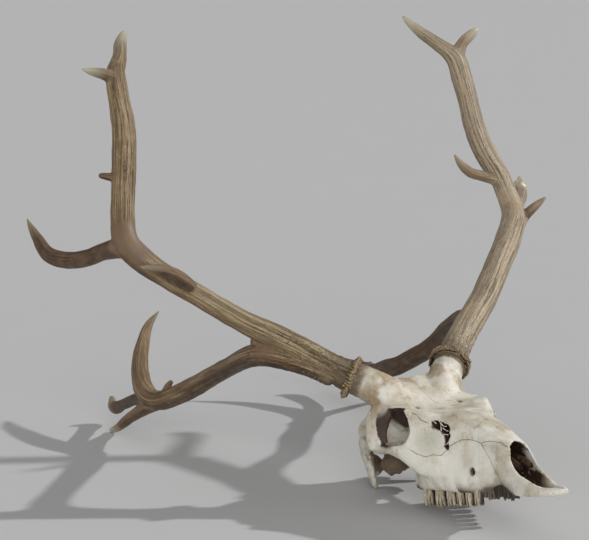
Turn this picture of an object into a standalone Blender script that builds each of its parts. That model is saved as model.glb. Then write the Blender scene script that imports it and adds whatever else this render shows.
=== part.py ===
"""Skull with both antlers of a Pere David's deer stag, lying on the floor.

Everything is drawn in the skull's own frame, in centimetres: forward from the back
of the skull to the muzzle, left of the animal, and up from the plane on which the
upper teeth bite. An empty then tips the whole thing the way it comes to rest, on the
two bone prongs behind the ears and on the tip of each back tine, nose in the air.
"""
import math

import bmesh
import bpy
from mathutils import Matrix, Vector

CM = 0.01

# Driving dimensions, in centimetres and degrees
NOSE_UP = 13.5
FLOOR_AT_ORIGIN = 3.07
SKULL_LENGTH = 42.6
BURR_RADIUS = 3.05
BURR_SPACING = 17.5
BURR_FORWARD = 8.5
BURR_UP = 19.0
BURR_CUT = -0.45
BURR_PEARLS = 22
BEAM_RADIUS = 1.75
TOOTH_CROWN = 1.8
TOOTH_ROOT = 0.9
TOOTH_SPACING = 0.04
TOOTH_ROW_FRONT = (28.75, 3.55)
TOOTH_ROW_BACK = (17.0, 5.35)
EAR_PRONG_TIP = (3.95, 4.15)

# Gap between neighbouring pieces, and the play round a tooth in its socket
GAP = 0.03
SOCKET_PLAY = 0.035

# How finely the forms are drawn: skin size, smoothing rounds and triangles of each grown piece
SKULL_GRAIN = 0.20
ANTLER_GRAIN = 0.22
SKULL_FACES = 3050
LOWER_BEAM_FACES = 740
FORKED_TINE_FACES = 340
UPPER_BEAM_FACES = 380

# A tube of flats is thinner than the round one it stands for
FACET_ALLOWANCE = 1.07

SIDES = {"R": -1, "L": 1}


# Scene and collections

for old in list(bpy.data.objects):
    bpy.data.objects.remove(old, do_unlink=True)

parts = bpy.data.collections.new("pere_davids_deer_antler_rack")
cutters = bpy.data.collections.new("cutters")
bpy.context.scene.collection.children.link(parts)
bpy.context.scene.collection.children.link(cutters)

pose = bpy.data.objects.new("resting_pose", None)
parts.objects.link(pose)


def finish(name, colour, roughness):
    """A Principled material with one colour and roughness."""
    material = bpy.data.materials.new(name)
    material.use_nodes = True
    shader = material.node_tree.nodes["Principled BSDF"]
    shader.inputs["Base Color"].default_value = (*colour, 1)
    shader.inputs["Roughness"].default_value = roughness
    shader.inputs["Metallic"].default_value = 0.0
    return material


BONE = finish("bleached_bone", (0.66, 0.60, 0.49), 0.62)
ANTLER = finish("weathered_antler", (0.27, 0.20, 0.13), 0.55)
TINE_TIP = finish("polished_antler", (0.33, 0.27, 0.18), 0.42)
ENAMEL = finish("stained_enamel", (0.42, 0.33, 0.22), 0.35)


# Points, rings and lofts

def spot(forward, left, up):
    """A point of the skull's frame, as Blender's x, y, z in metres."""
    return Vector((left, -forward, up)) * CM


def smooth_between(rows, place):
    """Values at a fractional place along rows, read from a smooth curve through them."""
    index = min(int(place), len(rows) - 2)
    t = place - index
    ends = [rows[0], *rows, rows[-1]]
    return [0.5 * (2 * q + (r - p) * t + (2 * p - 5 * q + 4 * r - s) * t * t
                   + (3 * q - p - 3 * r + s) * t ** 3) for p, q, r, s in zip(*ends[index:index + 4])]


def curve_through(stations, step):
    """Stations about a step apart along the smooth curve through the given ones."""
    out = []
    for k in range(len(stations) - 1):
        count = max(1, round(math.dist(stations[k][:3], stations[k + 1][:3]) / step))
        out += [smooth_between(stations, k + j / count) for j in range(count)]
    return out + [list(stations[-1])]


def new_object(name, data):
    """A working object, kept among the cutters until it is finished."""
    thing = bpy.data.objects.new(name, data)
    cutters.objects.link(thing)
    return thing


def object_from(shape, name):
    """A working object from a built shape, which is given back."""
    mesh = bpy.data.meshes.new(name)
    shape.to_mesh(mesh)
    shape.free()
    return new_object(name, mesh)


def loft(rings, name):
    """One closed solid through rings that all have the same number of points."""
    shape = bmesh.new()
    loops = [[shape.verts.new(p) for p in ring] for ring in rings]
    size = len(loops[0])
    for low, high in zip(loops, loops[1:]):
        for k in range(size):
            j = (k + 1) % size
            shape.faces.new((low[k], low[j], high[j], high[k]))
    shape.faces.new(list(reversed(loops[0])))
    shape.faces.new(loops[-1])
    bmesh.ops.recalc_face_normals(shape, faces=shape.faces)
    return object_from(shape, name)


def blade(stations, across, step=1.0, sides=12):
    """A bar of oval section: each station is forward, left, up, half width, half thickness."""
    rows = curve_through(stations, step)
    centres = [spot(*row[:3]) for row in rows]
    wide = spot(*across).normalized()
    rings = []
    for k, row in enumerate(rows):
        along = centres[min(k + 1, len(rows) - 1)] - centres[max(k - 1, 0)]
        thick = along.cross(wide).normalized()
        flat = thick.cross(along).normalized()
        turn = [math.tau * j / sides for j in range(sides)]
        rings.append([centres[k] + flat * (row[3] * CM * math.cos(t))
                      + thick * (row[4] * CM * math.sin(t)) for t in turn])
    return loft(rings, "blade")


def ball(centre, radii, segments=24):
    """An ellipsoid with half sizes along forward, left and up."""
    shape = bmesh.new()
    bmesh.ops.create_uvsphere(shape, u_segments=segments, v_segments=segments // 2, radius=1.0)
    size = Matrix.Diagonal((radii[1] * CM, radii[0] * CM, radii[2] * CM, 1.0))
    bmesh.ops.transform(shape, verts=shape.verts, matrix=Matrix.Translation(spot(*centre)) @ size)
    return object_from(shape, "ball")


def knife(place, axis, reach, depth=1.5):
    """A block that starts at a place and takes off what lies beyond it along an axis."""
    shape = bmesh.new()
    bmesh.ops.create_cube(shape, size=2.0)
    size = Matrix.Diagonal((depth * CM, reach * CM, reach * CM, 1.0))
    turn = axis.to_track_quat("X", "Z").to_matrix().to_4x4()
    middle = Matrix.Translation(place + axis * (depth * CM))
    bmesh.ops.transform(shape, verts=shape.verts, matrix=middle @ turn @ size)
    return object_from(shape, "knife")


def horn_tube(rows, resolution=4):
    """A tapering round tube through rows of forward, left, up and radius."""
    curve = bpy.data.curves.new("tube", "CURVE")
    curve.dimensions = "3D"
    curve.bevel_depth = CM * FACET_ALLOWANCE
    curve.bevel_resolution = resolution
    curve.use_fill_caps = True
    curve.twist_mode = "MINIMUM"
    line = curve.splines.new("POLY")
    line.points.add(len(rows) - 1)
    for point, row in zip(line.points, rows):
        point.co = (*spot(*row[:3]), 1.0)
        point.radius = row[3]
    return solid_of(new_object("tube", curve), "tube")


def solid_of(thing, name):
    """The evaluated object as a plain closed mesh, in place of the object."""
    bpy.context.view_layer.update()
    graph = bpy.context.evaluated_depsgraph_get()
    mesh = bpy.data.meshes.new_from_object(thing.evaluated_get(graph))
    shape = bmesh.new()
    shape.from_mesh(mesh)
    bmesh.ops.remove_doubles(shape, verts=shape.verts, dist=0.000001)
    bmesh.ops.recalc_face_normals(shape, faces=shape.faces)
    shape.to_mesh(mesh)
    shape.free()
    result = new_object(name, mesh)
    result.matrix_world = thing.matrix_world
    bpy.data.objects.remove(thing, do_unlink=True)
    return result


def fuse(name, pieces, grain, rounds):
    """Grow the pieces together: one skin over all of them, then rubbed smooth."""
    shape = bmesh.new()
    for piece in pieces:
        shape.from_mesh(piece.data)
        bpy.data.objects.remove(piece, do_unlink=True)
    thing = object_from(shape, name)
    skin = thing.modifiers.new("one_skin", "REMESH")
    skin.mode = "VOXEL"
    skin.voxel_size = grain * CM
    rub = thing.modifiers.new("rub", "SMOOTH")
    rub.factor = 0.5
    rub.iterations = rounds
    return solid_of(thing, name)


def cut(thing, tools):
    """Take each tool out of the thing, exactly."""
    for tool in tools:
        opening = thing.modifiers.new("opening", "BOOLEAN")
        opening.operation = "DIFFERENCE"
        opening.solver = "EXACT"
        opening.object = tool
    result = solid_of(thing, thing.name)
    for tool in tools:
        bpy.data.objects.remove(tool, do_unlink=True)
    return result


def thin(thing, faces):
    """Fewer triangles, kept where the form turns."""
    count = sum(len(polygon.vertices) - 2 for polygon in thing.data.polygons)
    fewer = thing.modifiers.new("fewer", "DECIMATE")
    fewer.ratio = min(1.0, faces / count)
    return solid_of(thing, thing.name)


def mirrored(row, side):
    """A station drawn for the animal's left, put on the given side."""
    return (row[0], row[1] * side, *row[2:])


def keep(thing, name, material):
    """Name a finished piece, give it its material and hang it on the resting pose."""
    thing.name = name
    thing.data.name = name
    thing.data.materials.clear()
    thing.data.materials.append(material)
    thing.data.shade_smooth()
    thing.data.set_sharp_from_angle(angle=math.radians(40))
    cutters.objects.unlink(thing)
    parts.objects.link(thing)
    thing.parent = pose
    return thing


def floor_under(forward):
    """Height of the floor in the skull's frame, below a point that far forward."""
    return FLOOR_AT_ORIGIN - forward * math.tan(math.radians(NOSE_UP))


# Antler routes, as forward, left, up and radius of stations along the middle of each branch

BURR_LEFT = BURR_SPACING / 2
BEAM_DIRECTION = Vector((-7.2, 10.1, 7.4)).normalized()


def from_burr(distance, radius):
    """A station on the beam's own axis, measured from the middle of the burr."""
    place = Vector((BURR_FORWARD, BURR_LEFT, BURR_UP)) + BEAM_DIRECTION * distance
    return (*place, radius)


ROUTES = {
    "R": {
        "beam": [from_burr(-1.2, 2.35), from_burr(0.6, 2.2), (6.8, 11.1, 21.0, 1.9),
                 (4.5, 14.4, 23.9, 1.8), (2.5, 17.2, 26.2, BEAM_RADIUS), (0.4, 21.0, 29.0, 1.55),
                 (-1.5, 26.3, 33.2, 1.5), (-3.2, 30.7, 36.8, 1.55), (-4.5, 34.0, 40.0, 1.8),
                 (-5.3, 35.3, 42.6, 1.75), (-6.2, 34.8, 46.0, 1.68)],
        "upper": [(-5.3, 35.3, 42.6, 1.75), (-6.2, 34.8, 46.0, 1.68), (-7.5, 33.3, 51.7, 1.68),
                  (-8.4, 32.3, 55.5, 1.74), (-9.3, 31.5, 59.3, 1.68), (-10.5, 31.1, 63.2, 1.55),
                  (-11.8, 30.6, 66.8, 1.5), (-12.9, 30.0, 68.3, 1.35), (-13.7, 29.1, 69.6, 1.15)],
        "top_tine": [(-12.9, 30.0, 68.3, 1.3), (-13.7, 29.1, 69.6, 1.15), (-14.6, 28.2, 71.0, 1.02),
                     (-15.9, 27.2, 73.0, 0.95), (-16.7, 26.2, 74.7, 0.55), (-16.9, 25.8, 75.3, 0.2)],
        "top_point": [(-11.8, 31.0, 67.1, 1.0), (-11.4, 32.6, 67.7, 0.82), (-11.3, 33.6, 67.9, 0.7),
                      (-11.2, 35.0, 68.2, 0.5), (-11.1, 36.2, 68.5, 0.18)],
        "nub": [(-7.5, 33.5, 51.6, 0.9), (-8.0, 34.6, 51.9, 0.62), (-8.5, 35.6, 52.2, 0.45),
                (-8.8, 36.3, 52.4, 0.3)],
        "rear": [(7.2, 10.8, 19.6, 1.6), (4.6, 14.0, 21.9, 1.7), (1.0, 17.6, 23.8, 1.8),
                 (-3.0, 18.7, 23.7, 1.55), (-9.5, 18.5, 22.6, 1.38), (-16.5, 18.3, 21.2, 1.45),
                 (-22.0, 19.0, 19.8, 1.55), (-26.5, 19.8, 18.8, 1.5), (-30.0, 20.4, 18.3, 1.5),
                 (-33.0, 21.0, 18.7, 1.45)],
        "rear_tall": [(-33.0, 21.0, 18.9, 1.5), (-36.3, 20.6, 21.1, 1.5), (-40.8, 18.4, 24.6, 1.35),
                      (-45.2, 15.2, 28.1, 1.05), (-48.5, 12.3, 30.8, 0.7), (-50.9, 8.9, 33.0, 0.15)],
        "rear_blunt": [(-33.5, 21.1, 18.4, 1.2), (-38.2, 21.0, 18.8, 0.95), (-44.2, 20.6, 18.1, 0.88),
                       (-48.0, 20.3, 17.6, 1.05), (-49.3, 20.3, 18.0, 0.85), (-49.0, 20.5, 19.2, 0.5)],
        "rear_foot": [(-31.5, 20.8, 18.0, 1.25), (-35.0, 21.3, 17.2, 1.05), (-38.6, 22.2, 16.0, 0.88),
                      (-42.0, 22.9, 14.6, 0.7), (-44.4, 23.3, None, 0.42)],
        "rear_nub": [(-29.5, 20.2, 19.0, 0.8), (-28.6, 19.8, 20.4, 0.55), (-28.0, 19.5, 21.0, 0.4)],
        "outer": [(-5.3, 35.3, 41.6, 1.6), (-8.2, 37.5, 41.3, 1.22), (-11.1, 39.4, 40.7, 1.2),
                  (-14.0, 41.2, 41.0, 1.2), (-16.3, 42.7, 42.2, 1.08), (-17.6, 43.5, 44.6, 0.78),
                  (-18.4, 44.0, 46.5, 0.46), (-18.7, 44.4, 47.9, 0.12)],
        "front": [(-2.2, 26.6, 33.4, 1.1), (-0.9, 28.6, 35.3, 1.0), (0.0, 31.2, 36.8, 0.9),
                  (0.9, 34.1, 37.6, 0.7), (1.6, 36.7, 38.0, 0.2)],
    },
    "L": {
        "beam": [from_burr(-1.2, 2.35), from_burr(0.6, 2.2), (7.0, 11.7, 21.6, 2.05),
                 (5.4, 15.7, 24.8, 2.0), (3.7, 20.1, 28.1, 1.98), (1.5, 24.8, 32.3, 2.0),
                 (-0.5, 28.8, 35.9, 2.02), (-2.7, 32.7, 39.8, 1.95), (-4.6, 34.4, 42.2, 1.75),
                 (-5.8, 34.7, 44.8, 1.65)],
        "upper": [(-4.6, 34.4, 42.2, 1.75), (-5.8, 34.7, 44.8, 1.65), (-6.7, 34.2, 48.2, 1.65),
                  (-8.3, 33.1, 52.6, 1.75), (-9.4, 32.6, 56.9, 1.7), (-10.1, 32.5, 61.1, 1.6),
                  (-10.9, 32.4, 65.3, 1.65), (-11.5, 32.1, 68.4, 1.55), (-12.4, 31.2, 70.2, 1.25),
                  (-13.1, 30.5, 71.1, 1.15)],
        "top_tine": [(-12.4, 31.2, 70.2, 1.25), (-13.1, 30.5, 71.1, 1.15), (-14.0, 29.5, 72.4, 1.0),
                     (-15.1, 28.3, 73.9, 0.88), (-16.3, 26.9, 76.0, 0.6), (-16.8, 26.2, 77.1, 0.2)],
        "top_point": [(-11.6, 32.6, 69.4, 1.2), (-11.2, 33.6, 71.1, 0.95), (-10.7, 35.1, 72.4, 0.82),
                      (-10.3, 35.8, 73.0, 0.6), (-10.0, 36.2, 73.4, 0.2)],
        "nub": [(-8.4, 33.4, 52.8, 1.2), (-8.4, 34.4, 53.0, 0.95), (-8.5, 35.0, 53.2, 0.5)],
        "rear": [(7.2, 11.0, 19.8, 1.6), (4.8, 14.4, 22.4, 1.75), (1.2, 17.9, 25.0, 1.8),
                 (-4.5, 18.5, 23.8, 1.58), (-9.1, 18.6, 21.7, 1.47), (-14.0, 17.6, 20.0, 1.47),
                 (-17.2, 16.7, 19.0, 1.47), (-21.0, 17.0, 18.6, 1.5), (-25.0, 18.2, 18.2, 1.5),
                 (-29.0, 19.4, 18.0, 1.5), (-33.0, 20.8, 18.2, 1.45)],
        "rear_tall": [(-32.5, 20.9, 18.3, 1.5), (-37.0, 20.3, 19.2, 1.4), (-41.0, 19.0, 20.3, 1.25),
                      (-45.0, 17.5, 21.7, 1.05), (-48.5, 15.0, 23.2, 0.75), (-52.0, 11.4, 25.1, 0.15)],
        "rear_blunt": [(-33.0, 21.0, 18.2, 1.2), (-38.0, 21.6, 17.4, 0.95), (-43.0, 21.6, 17.6, 0.88),
                       (-47.5, 21.8, 18.6, 1.05), (-49.0, 21.8, 19.3, 0.85), (-49.3, 21.9, 20.4, 0.5)],
        "rear_foot": [(-31.5, 20.4, 17.9, 1.25), (-33.2, 22.0, 17.2, 1.05), (-35.2, 23.8, 16.0, 0.9),
                      (-37.6, 26.0, 14.5, 0.72), (-39.6, 28.1, None, 0.42)],
        "rear_nub": [(-29.5, 19.4, 18.6, 0.8), (-29.0, 19.0, 19.4, 0.55), (-28.7, 18.9, 19.7, 0.4)],
        "outer": [(-4.6, 34.8, 42.2, 1.5), (-8.4, 38.6, 43.6, 1.25), (-11.4, 41.6, 44.5, 1.15),
                  (-14.0, 43.9, 45.4, 1.25), (-15.6, 45.4, 46.4, 1.15), (-16.4, 46.1, 47.4, 0.85),
                  (-16.8, 46.4, 48.3, 0.35)],
        "front": [(-3.0, 34.2, 39.4, 1.0), (-3.7, 36.0, 40.7, 0.85), (-2.8, 36.9, 41.7, 0.75),
                  (-1.9, 37.9, 42.6, 0.55), (-1.1, 38.8, 43.4, 0.2)],
        "inner": [(-6.6, 33.4, 47.6, 1.1), (-6.9, 31.2, 48.2, 0.85), (-6.7, 28.6, 48.9, 0.8),
                  (-5.8, 26.2, 50.2, 0.62), (-5.1, 24.6, 51.8, 0.18)],
    },
}

# How far along its route, in centimetres, each branch is parted from what carries it
PARTED_AT = {
    "R": {"upper": 3.5, "rear": 13.0, "outer": 2.9, "front": 3.6, "top_tine": 1.8, "top_point": 1.7,
          "rear_tall": 3.4, "rear_blunt": 3.9, "rear_foot": 2.8},
    "L": {"upper": 2.9, "rear": 13.0, "outer": 2.9, "front": 4.1, "top_tine": 1.5, "top_point": 2.0,
          "inner": 2.8, "rear_tall": 4.9, "rear_blunt": 5.0, "rear_foot": 3.0},
}


def route(side_name, branch):
    """A branch's stations on its own side, with a foot's tip just touching the floor."""
    rows = []
    for forward, left, up, radius in ROUTES[side_name][branch]:
        if up is None:
            up = floor_under(forward) + radius * 0.75
        rows.append(mirrored((forward, left, up, radius), SIDES[side_name]))
    return rows


def heading(start, end):
    """Unit direction from one station to another, in Blender's axes."""
    return (spot(*end[:3]) - spot(*start[:3])).normalized()


def parted(side_name, branch):
    """A branch split at its cut: the stations before it, those after it and the cut's axis."""
    fine = curve_through(route(side_name, branch), 0.5)
    gone = 0.0
    for k in range(1, len(fine)):
        gone += math.dist(fine[k - 1][:3], fine[k][:3])
        if gone >= PARTED_AT[side_name][branch]:
            break
    return fine[:k + 1], fine[k:], heading(fine[k - 1], fine[k + 1])


def every(rows, step):
    """Stations picked a step apart along a fine route, with both ends kept."""
    picked, gone = [rows[0]], 0.0
    for before, row in zip(rows, rows[1:]):
        gone += math.dist(before[:3], row[:3])
        if gone >= step:
            picked.append(row)
            gone = 0.0
    if picked[-1] is not rows[-1]:
        if len(picked) > 2 and gone < 0.4 * step:
            picked.pop()
        picked.append(rows[-1])
    return picked


def stub(side_name, branch):
    """What a branch leaves on its carrier: a short tube, and the knife that trims its end."""
    before, after, axis = parted(side_name, branch)
    end = knife(spot(*before[-1][:3]), axis, before[-1][3] + 0.35)
    return horn_tube(every(before + after[1:4], 1.2)), end


def carried(side_name, branch, step, resolution=4):
    """The rest of a branch, and the knife that trims its start a gap beyond the stub."""
    before, after, axis = parted(side_name, branch)
    start = knife(spot(*before[-1][:3]) + axis * (GAP * CM), -axis, 3.0, 2.0)
    return horn_tube(every(before[-4:] + after[1:], step), resolution), start


def tine(side_name, branch, name, step, resolution=3):
    """A branch with no fork of its own, from its cut to its tip; a foot is worn flat."""
    horn, start = carried(side_name, branch, step, resolution)
    knives = [start]
    if branch == "rear_foot":
        knives.append(floor_block(*route(side_name, branch)[-1][:2]))
    keep(cut(horn, knives), f"{name}_{side_name}", TINE_TIP)


def burr_frame(side):
    """Where an antler sits: the middle of its burr, with Z out along the beam."""
    axis = Vector((BEAM_DIRECTION[1] * side, -BEAM_DIRECTION[0], BEAM_DIRECTION[2]))
    turn = axis.to_track_quat("Z", "Y").to_matrix().to_4x4()
    return Matrix.Translation(spot(BURR_FORWARD, BURR_LEFT * side, BURR_UP)) @ turn


def burr(side):
    """The knobbly crown at the foot of an antler: a ring with a row of pearls."""
    frame = burr_frame(side)
    shape = bmesh.new()
    bmesh.ops.create_cone(shape, cap_ends=True, segments=32, depth=0.9 * CM,
                          radius1=(BURR_RADIUS - 0.25) * CM, radius2=(BURR_RADIUS - 0.45) * CM)
    bmesh.ops.transform(shape, verts=shape.verts, matrix=frame)
    things = [object_from(shape, "ring")]
    for k in range(BURR_PEARLS):
        angle = math.tau * k / BURR_PEARLS
        reach = (BURR_RADIUS - 0.28 + 0.07 * math.sin(5.3 * k)) * CM
        lift = 0.10 * CM * math.sin(3.7 * k)
        place = Matrix.Translation((reach * math.cos(angle), reach * math.sin(angle), lift))
        shape = bmesh.new()
        bmesh.ops.create_icosphere(shape, subdivisions=2, radius=(0.44 + 0.07 * math.cos(2.1 * k)) * CM)
        bmesh.ops.transform(shape, verts=shape.verts, matrix=frame @ place)
        things.append(object_from(shape, "pearl"))
    return things


def burr_knife(side, offset, outwards):
    """The knife that trims an antler (-1) or the bone under it (1) on the plane of the burr."""
    frame = burr_frame(side)
    axis = frame.to_3x3() @ Vector((0, 0, 1))
    return knife(frame.translation + axis * (offset * CM), axis * outwards, 3.4, 1.6)


def forked(name, side_name, trunk, branches, knives, faces):
    """A trunk grown together with the stubs of its branches, each trimmed flat at its cut."""
    for branch in branches:
        tube, end = stub(side_name, branch)
        trunk.append(tube)
        knives.append(end)
    grown = thin(fuse(name, trunk, ANTLER_GRAIN, 5), faces)
    keep(cut(grown, knives), f"{name}_{side_name}", ANTLER)


def antler(side_name):
    """One antler: three forked pieces, and a tine or point beyond each of their cuts."""
    side = SIDES[side_name]
    beam = horn_tube(curve_through(route(side_name, "beam"), 1.5))
    forked("beam_lower", side_name, [beam] + burr(side), ["upper", "rear", "outer", "front"],
           [burr_knife(side, BURR_CUT, -1)], LOWER_BEAM_FACES)

    upper, start = carried(side_name, "upper", 1.4)
    nub = horn_tube(curve_through(route(side_name, "nub"), 0.6))
    ends = [name for name in ("top_tine", "top_point", "inner") if name in PARTED_AT[side_name]]
    forked("beam_upper", side_name, [upper, nub], ends, [start], UPPER_BEAM_FACES)

    rear, start = carried(side_name, "rear", 1.4)
    nub = horn_tube(curve_through(route(side_name, "rear_nub"), 0.6))
    forked("rear_tine", side_name, [rear, nub], ["rear_tall", "rear_blunt", "rear_foot"], [start],
           FORKED_TINE_FACES)

    tine(side_name, "rear_tall", "rear_tall_tine", 2.6)
    tine(side_name, "rear_blunt", "rear_blunt_tine", 1.9)
    tine(side_name, "rear_foot", "rear_foot_tine", 1.8)
    tine(side_name, "outer", "outer_tine", 1.9)
    tine(side_name, "front", "front_tine", 1.8)
    tine(side_name, "top_tine", "top_tine", 1.2)
    tine(side_name, "top_point", "top_point", 1.0, 2)
    if "inner" in PARTED_AT[side_name]:
        tine(side_name, "inner", "inner_tine", 1.8)


def floor_block(forward, left):
    """A block below the floor plane, which wears a tip flat where it stands."""
    down = -Vector((0, math.sin(math.radians(NOSE_UP)), math.cos(math.radians(NOSE_UP))))
    return knife(spot(forward, left, floor_under(forward)), down, 3.0, 2.0)


# Teeth: six to a side, from the second premolar back to the third molar

TOOTH_LENGTHS = {"premolar_2": 1.55, "premolar_3": 1.70, "premolar_4": 1.70,
                 "molar_1": 2.05, "molar_2": 2.30, "molar_3": 2.25}
TOOTH_WIDTHS = {"premolar_2": 1.25, "premolar_3": 1.50, "premolar_4": 1.65,
                "molar_1": 1.90, "molar_2": 2.05, "molar_3": 1.95}


def tooth_outline(length, width, lobes):
    """Corners of a tooth seen from below, along and across the row; two lobes have a waist."""
    outline = []
    for k in range(6 * lobes):
        angle = math.tau * k / (6 * lobes)
        waist = 0.94 + 0.06 * math.cos(4 * angle) if lobes == 2 else 1.0
        square = math.copysign(abs(math.sin(angle)) ** 0.6, math.sin(angle))
        outline.append(Vector((0.52 * length * math.cos(angle), 0.5 * width * square * waist)))
    return outline


def tooth(centre, along, length, width, lobes, swell, levels):
    """A loft down a tooth that stands in a row running along the given direction."""
    across = Vector((-along[1], along[0]))
    rings = []
    for up, scale in levels:
        ring = []
        for corner in tooth_outline(length, width, lobes):
            corner = corner * scale + corner.normalized() * swell
            place = Vector(centre) + Vector(along) * corner[0] + across * corner[1]
            ring.append(spot(*place, up))
        rings.append(ring)
    return loft(rings, "tooth")


CROWN_LEVELS = [(TOOTH_CROWN + TOOTH_ROOT, 0.86), (0.75, 0.98), (-0.1, 0.88), (-0.3, 0.50)]
SOCKET_LEVELS = [(TOOTH_CROWN + TOOTH_ROOT + GAP, 0.86), (0.9, 0.93)]


def tooth_row(side_name, make):
    """Call make with the place of each tooth of one side, front to back."""
    side = SIDES[side_name]
    front, back = Vector(TOOTH_ROW_FRONT), Vector(TOOTH_ROW_BACK)
    along = (front - back).normalized()
    inward = Vector((along[1], -along[0]))
    gone = 0.0
    for name, length in TOOTH_LENGTHS.items():
        width = TOOTH_WIDTHS[name]
        middle = front - along * (gone + length / 2) + inward * (width / 2)
        gone += length + TOOTH_SPACING
        make(name, (middle[0], middle[1] * side), (along[0], along[1] * side), length, width,
             1 if name.startswith("premolar") else 2)


# Skull: outlines across the head, each half from the top middle round to the bottom middle

HEAD_SECTIONS = [
    (15.6, [(0, 12.6), (2.4, 12.6), (2.9, 11.2), (3.0, 8.6), (4.2, 5.4), (4.9, 2.9), (3.8, 2.6), (0, 5.0)]),
    (17.6, [(0, 12.8), (3.2, 12.8), (3.8, 11.0), (4.4, 8.2), (5.2, 5.0), (5.35, 2.1), (3.6, 2.0), (0, 4.0)]),
    (19.4, [(0, 12.9), (5.0, 13.2), (6.8, 12.0), (7.1, 8.6), (6.1, 4.8), (5.2, 1.8), (3.3, 1.8), (0, 3.6)]),
    (22.4, [(0, 12.8), (3.9, 12.5), (5.0, 11.0), (5.5, 7.8), (5.8, 4.6), (4.8, 1.55), (2.9, 1.8), (0, 3.2)]),
    (25.5, [(0, 12.3), (2.8, 11.7), (3.8, 9.8), (4.1, 7.0), (4.5, 4.5), (4.2, 1.65), (2.4, 1.9), (0, 3.1)]),
    (28.5, [(0, 11.1), (2.2, 10.6), (2.8, 8.9), (3.1, 6.5), (3.4, 4.2), (3.3, 1.85), (1.9, 2.0), (0, 3.0)]),
    (31.5, [(0, 9.4), (1.8, 9.0), (2.3, 7.6), (2.5, 5.8), (2.5, 4.2), (2.2, 2.95), (1.4, 2.8), (0, 3.2)]),
    (33.9, [(0, 7.9), (1.5, 7.6), (2.1, 6.3), (2.25, 5.0), (2.25, 3.4), (2.1, 1.6), (1.3, 1.5), (0, 1.8)]),
    (35.2, [(0, 4.9), (1.6, 4.9), (2.1, 4.6), (2.2, 3.8), (2.2, 2.8), (2.1, 1.4), (1.2, 1.3), (0, 1.5)]),
    (37.0, [(0, 3.6), (1.5, 3.6), (2.0, 3.4), (2.1, 2.9), (2.1, 2.2), (2.0, 1.3), (1.1, 1.2), (0, 1.3)]),
    (39.0, [(0, 2.5), (1.3, 2.5), (1.75, 2.4), (1.9, 2.1), (1.9, 1.8), (1.75, 1.25), (0.9, 1.2), (0, 1.25)]),
    (41.0, [(0, 2.2), (0.9, 2.3), (1.25, 2.2), (1.4, 2.0), (1.4, 1.7), (1.25, 1.3), (0.7, 1.2), (0, 1.2)]),
    (SKULL_LENGTH, [(0, 2.1), (0.3, 2.1), (0.5, 2.0), (0.55, 1.85), (0.55, 1.7), (0.5, 1.5),
                    (0.3, 1.45), (0, 1.45)]),
]

ROOF_SECTIONS = [
    (3.6, [(0, 13.6), (2.0, 13.3), (3.2, 12.4), (2.4, 11.4), (0, 11.2)]),
    (6.2, [(0, 15.8), (3.0, 15.6), (4.6, 14.0), (3.2, 12.2), (0, 11.8)]),
    (9.3, [(0, 17.9), (3.6, 18.0), (5.8, 16.2), (4.6, 13.6), (0, 12.4)]),
    (11.6, [(0, 17.0), (3.8, 17.3), (6.5, 15.8), (4.8, 13.6), (0, 12.4)]),
    (13.6, [(0, 15.6), (3.9, 15.9), (7.2, 14.6), (5.0, 13.2), (0, 12.4)]),
    (15.6, [(0, 14.3), (3.8, 14.5), (7.5, 14.3), (5.2, 13.3), (0, 12.2)]),
    (17.6, [(0, 13.4), (3.7, 13.5), (7.1, 14.1), (5.4, 13.1), (0, 12.0)]),
    (19.8, [(0, 13.1), (3.4, 13.1), (6.3, 13.3), (5.2, 12.4), (0, 11.8)]),
    (22.4, [(0, 12.9), (3.0, 12.8), (4.6, 12.1), (3.8, 11.3), (0, 11.3)]),
]


def across_head(sections, points):
    """A loft of half outlines, mirrored to whole ones and made smooth both ways."""
    flat = [[forward, 0.0, 0.0] + [value for corner in half for value in corner]
            for forward, half in sections]
    rings = []
    for row in curve_through(flat, 0.6):
        half = list(zip(row[3::2], row[4::2]))
        left = [smooth_between(half, k * (len(half) - 1) / points) for k in range(points + 1)]
        right = [(-across, up) for across, up in reversed(left[1:-1])]
        rings.append([spot(row[0], across, up) for across, up in left + right])
    return loft(rings, "across_head")


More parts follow.
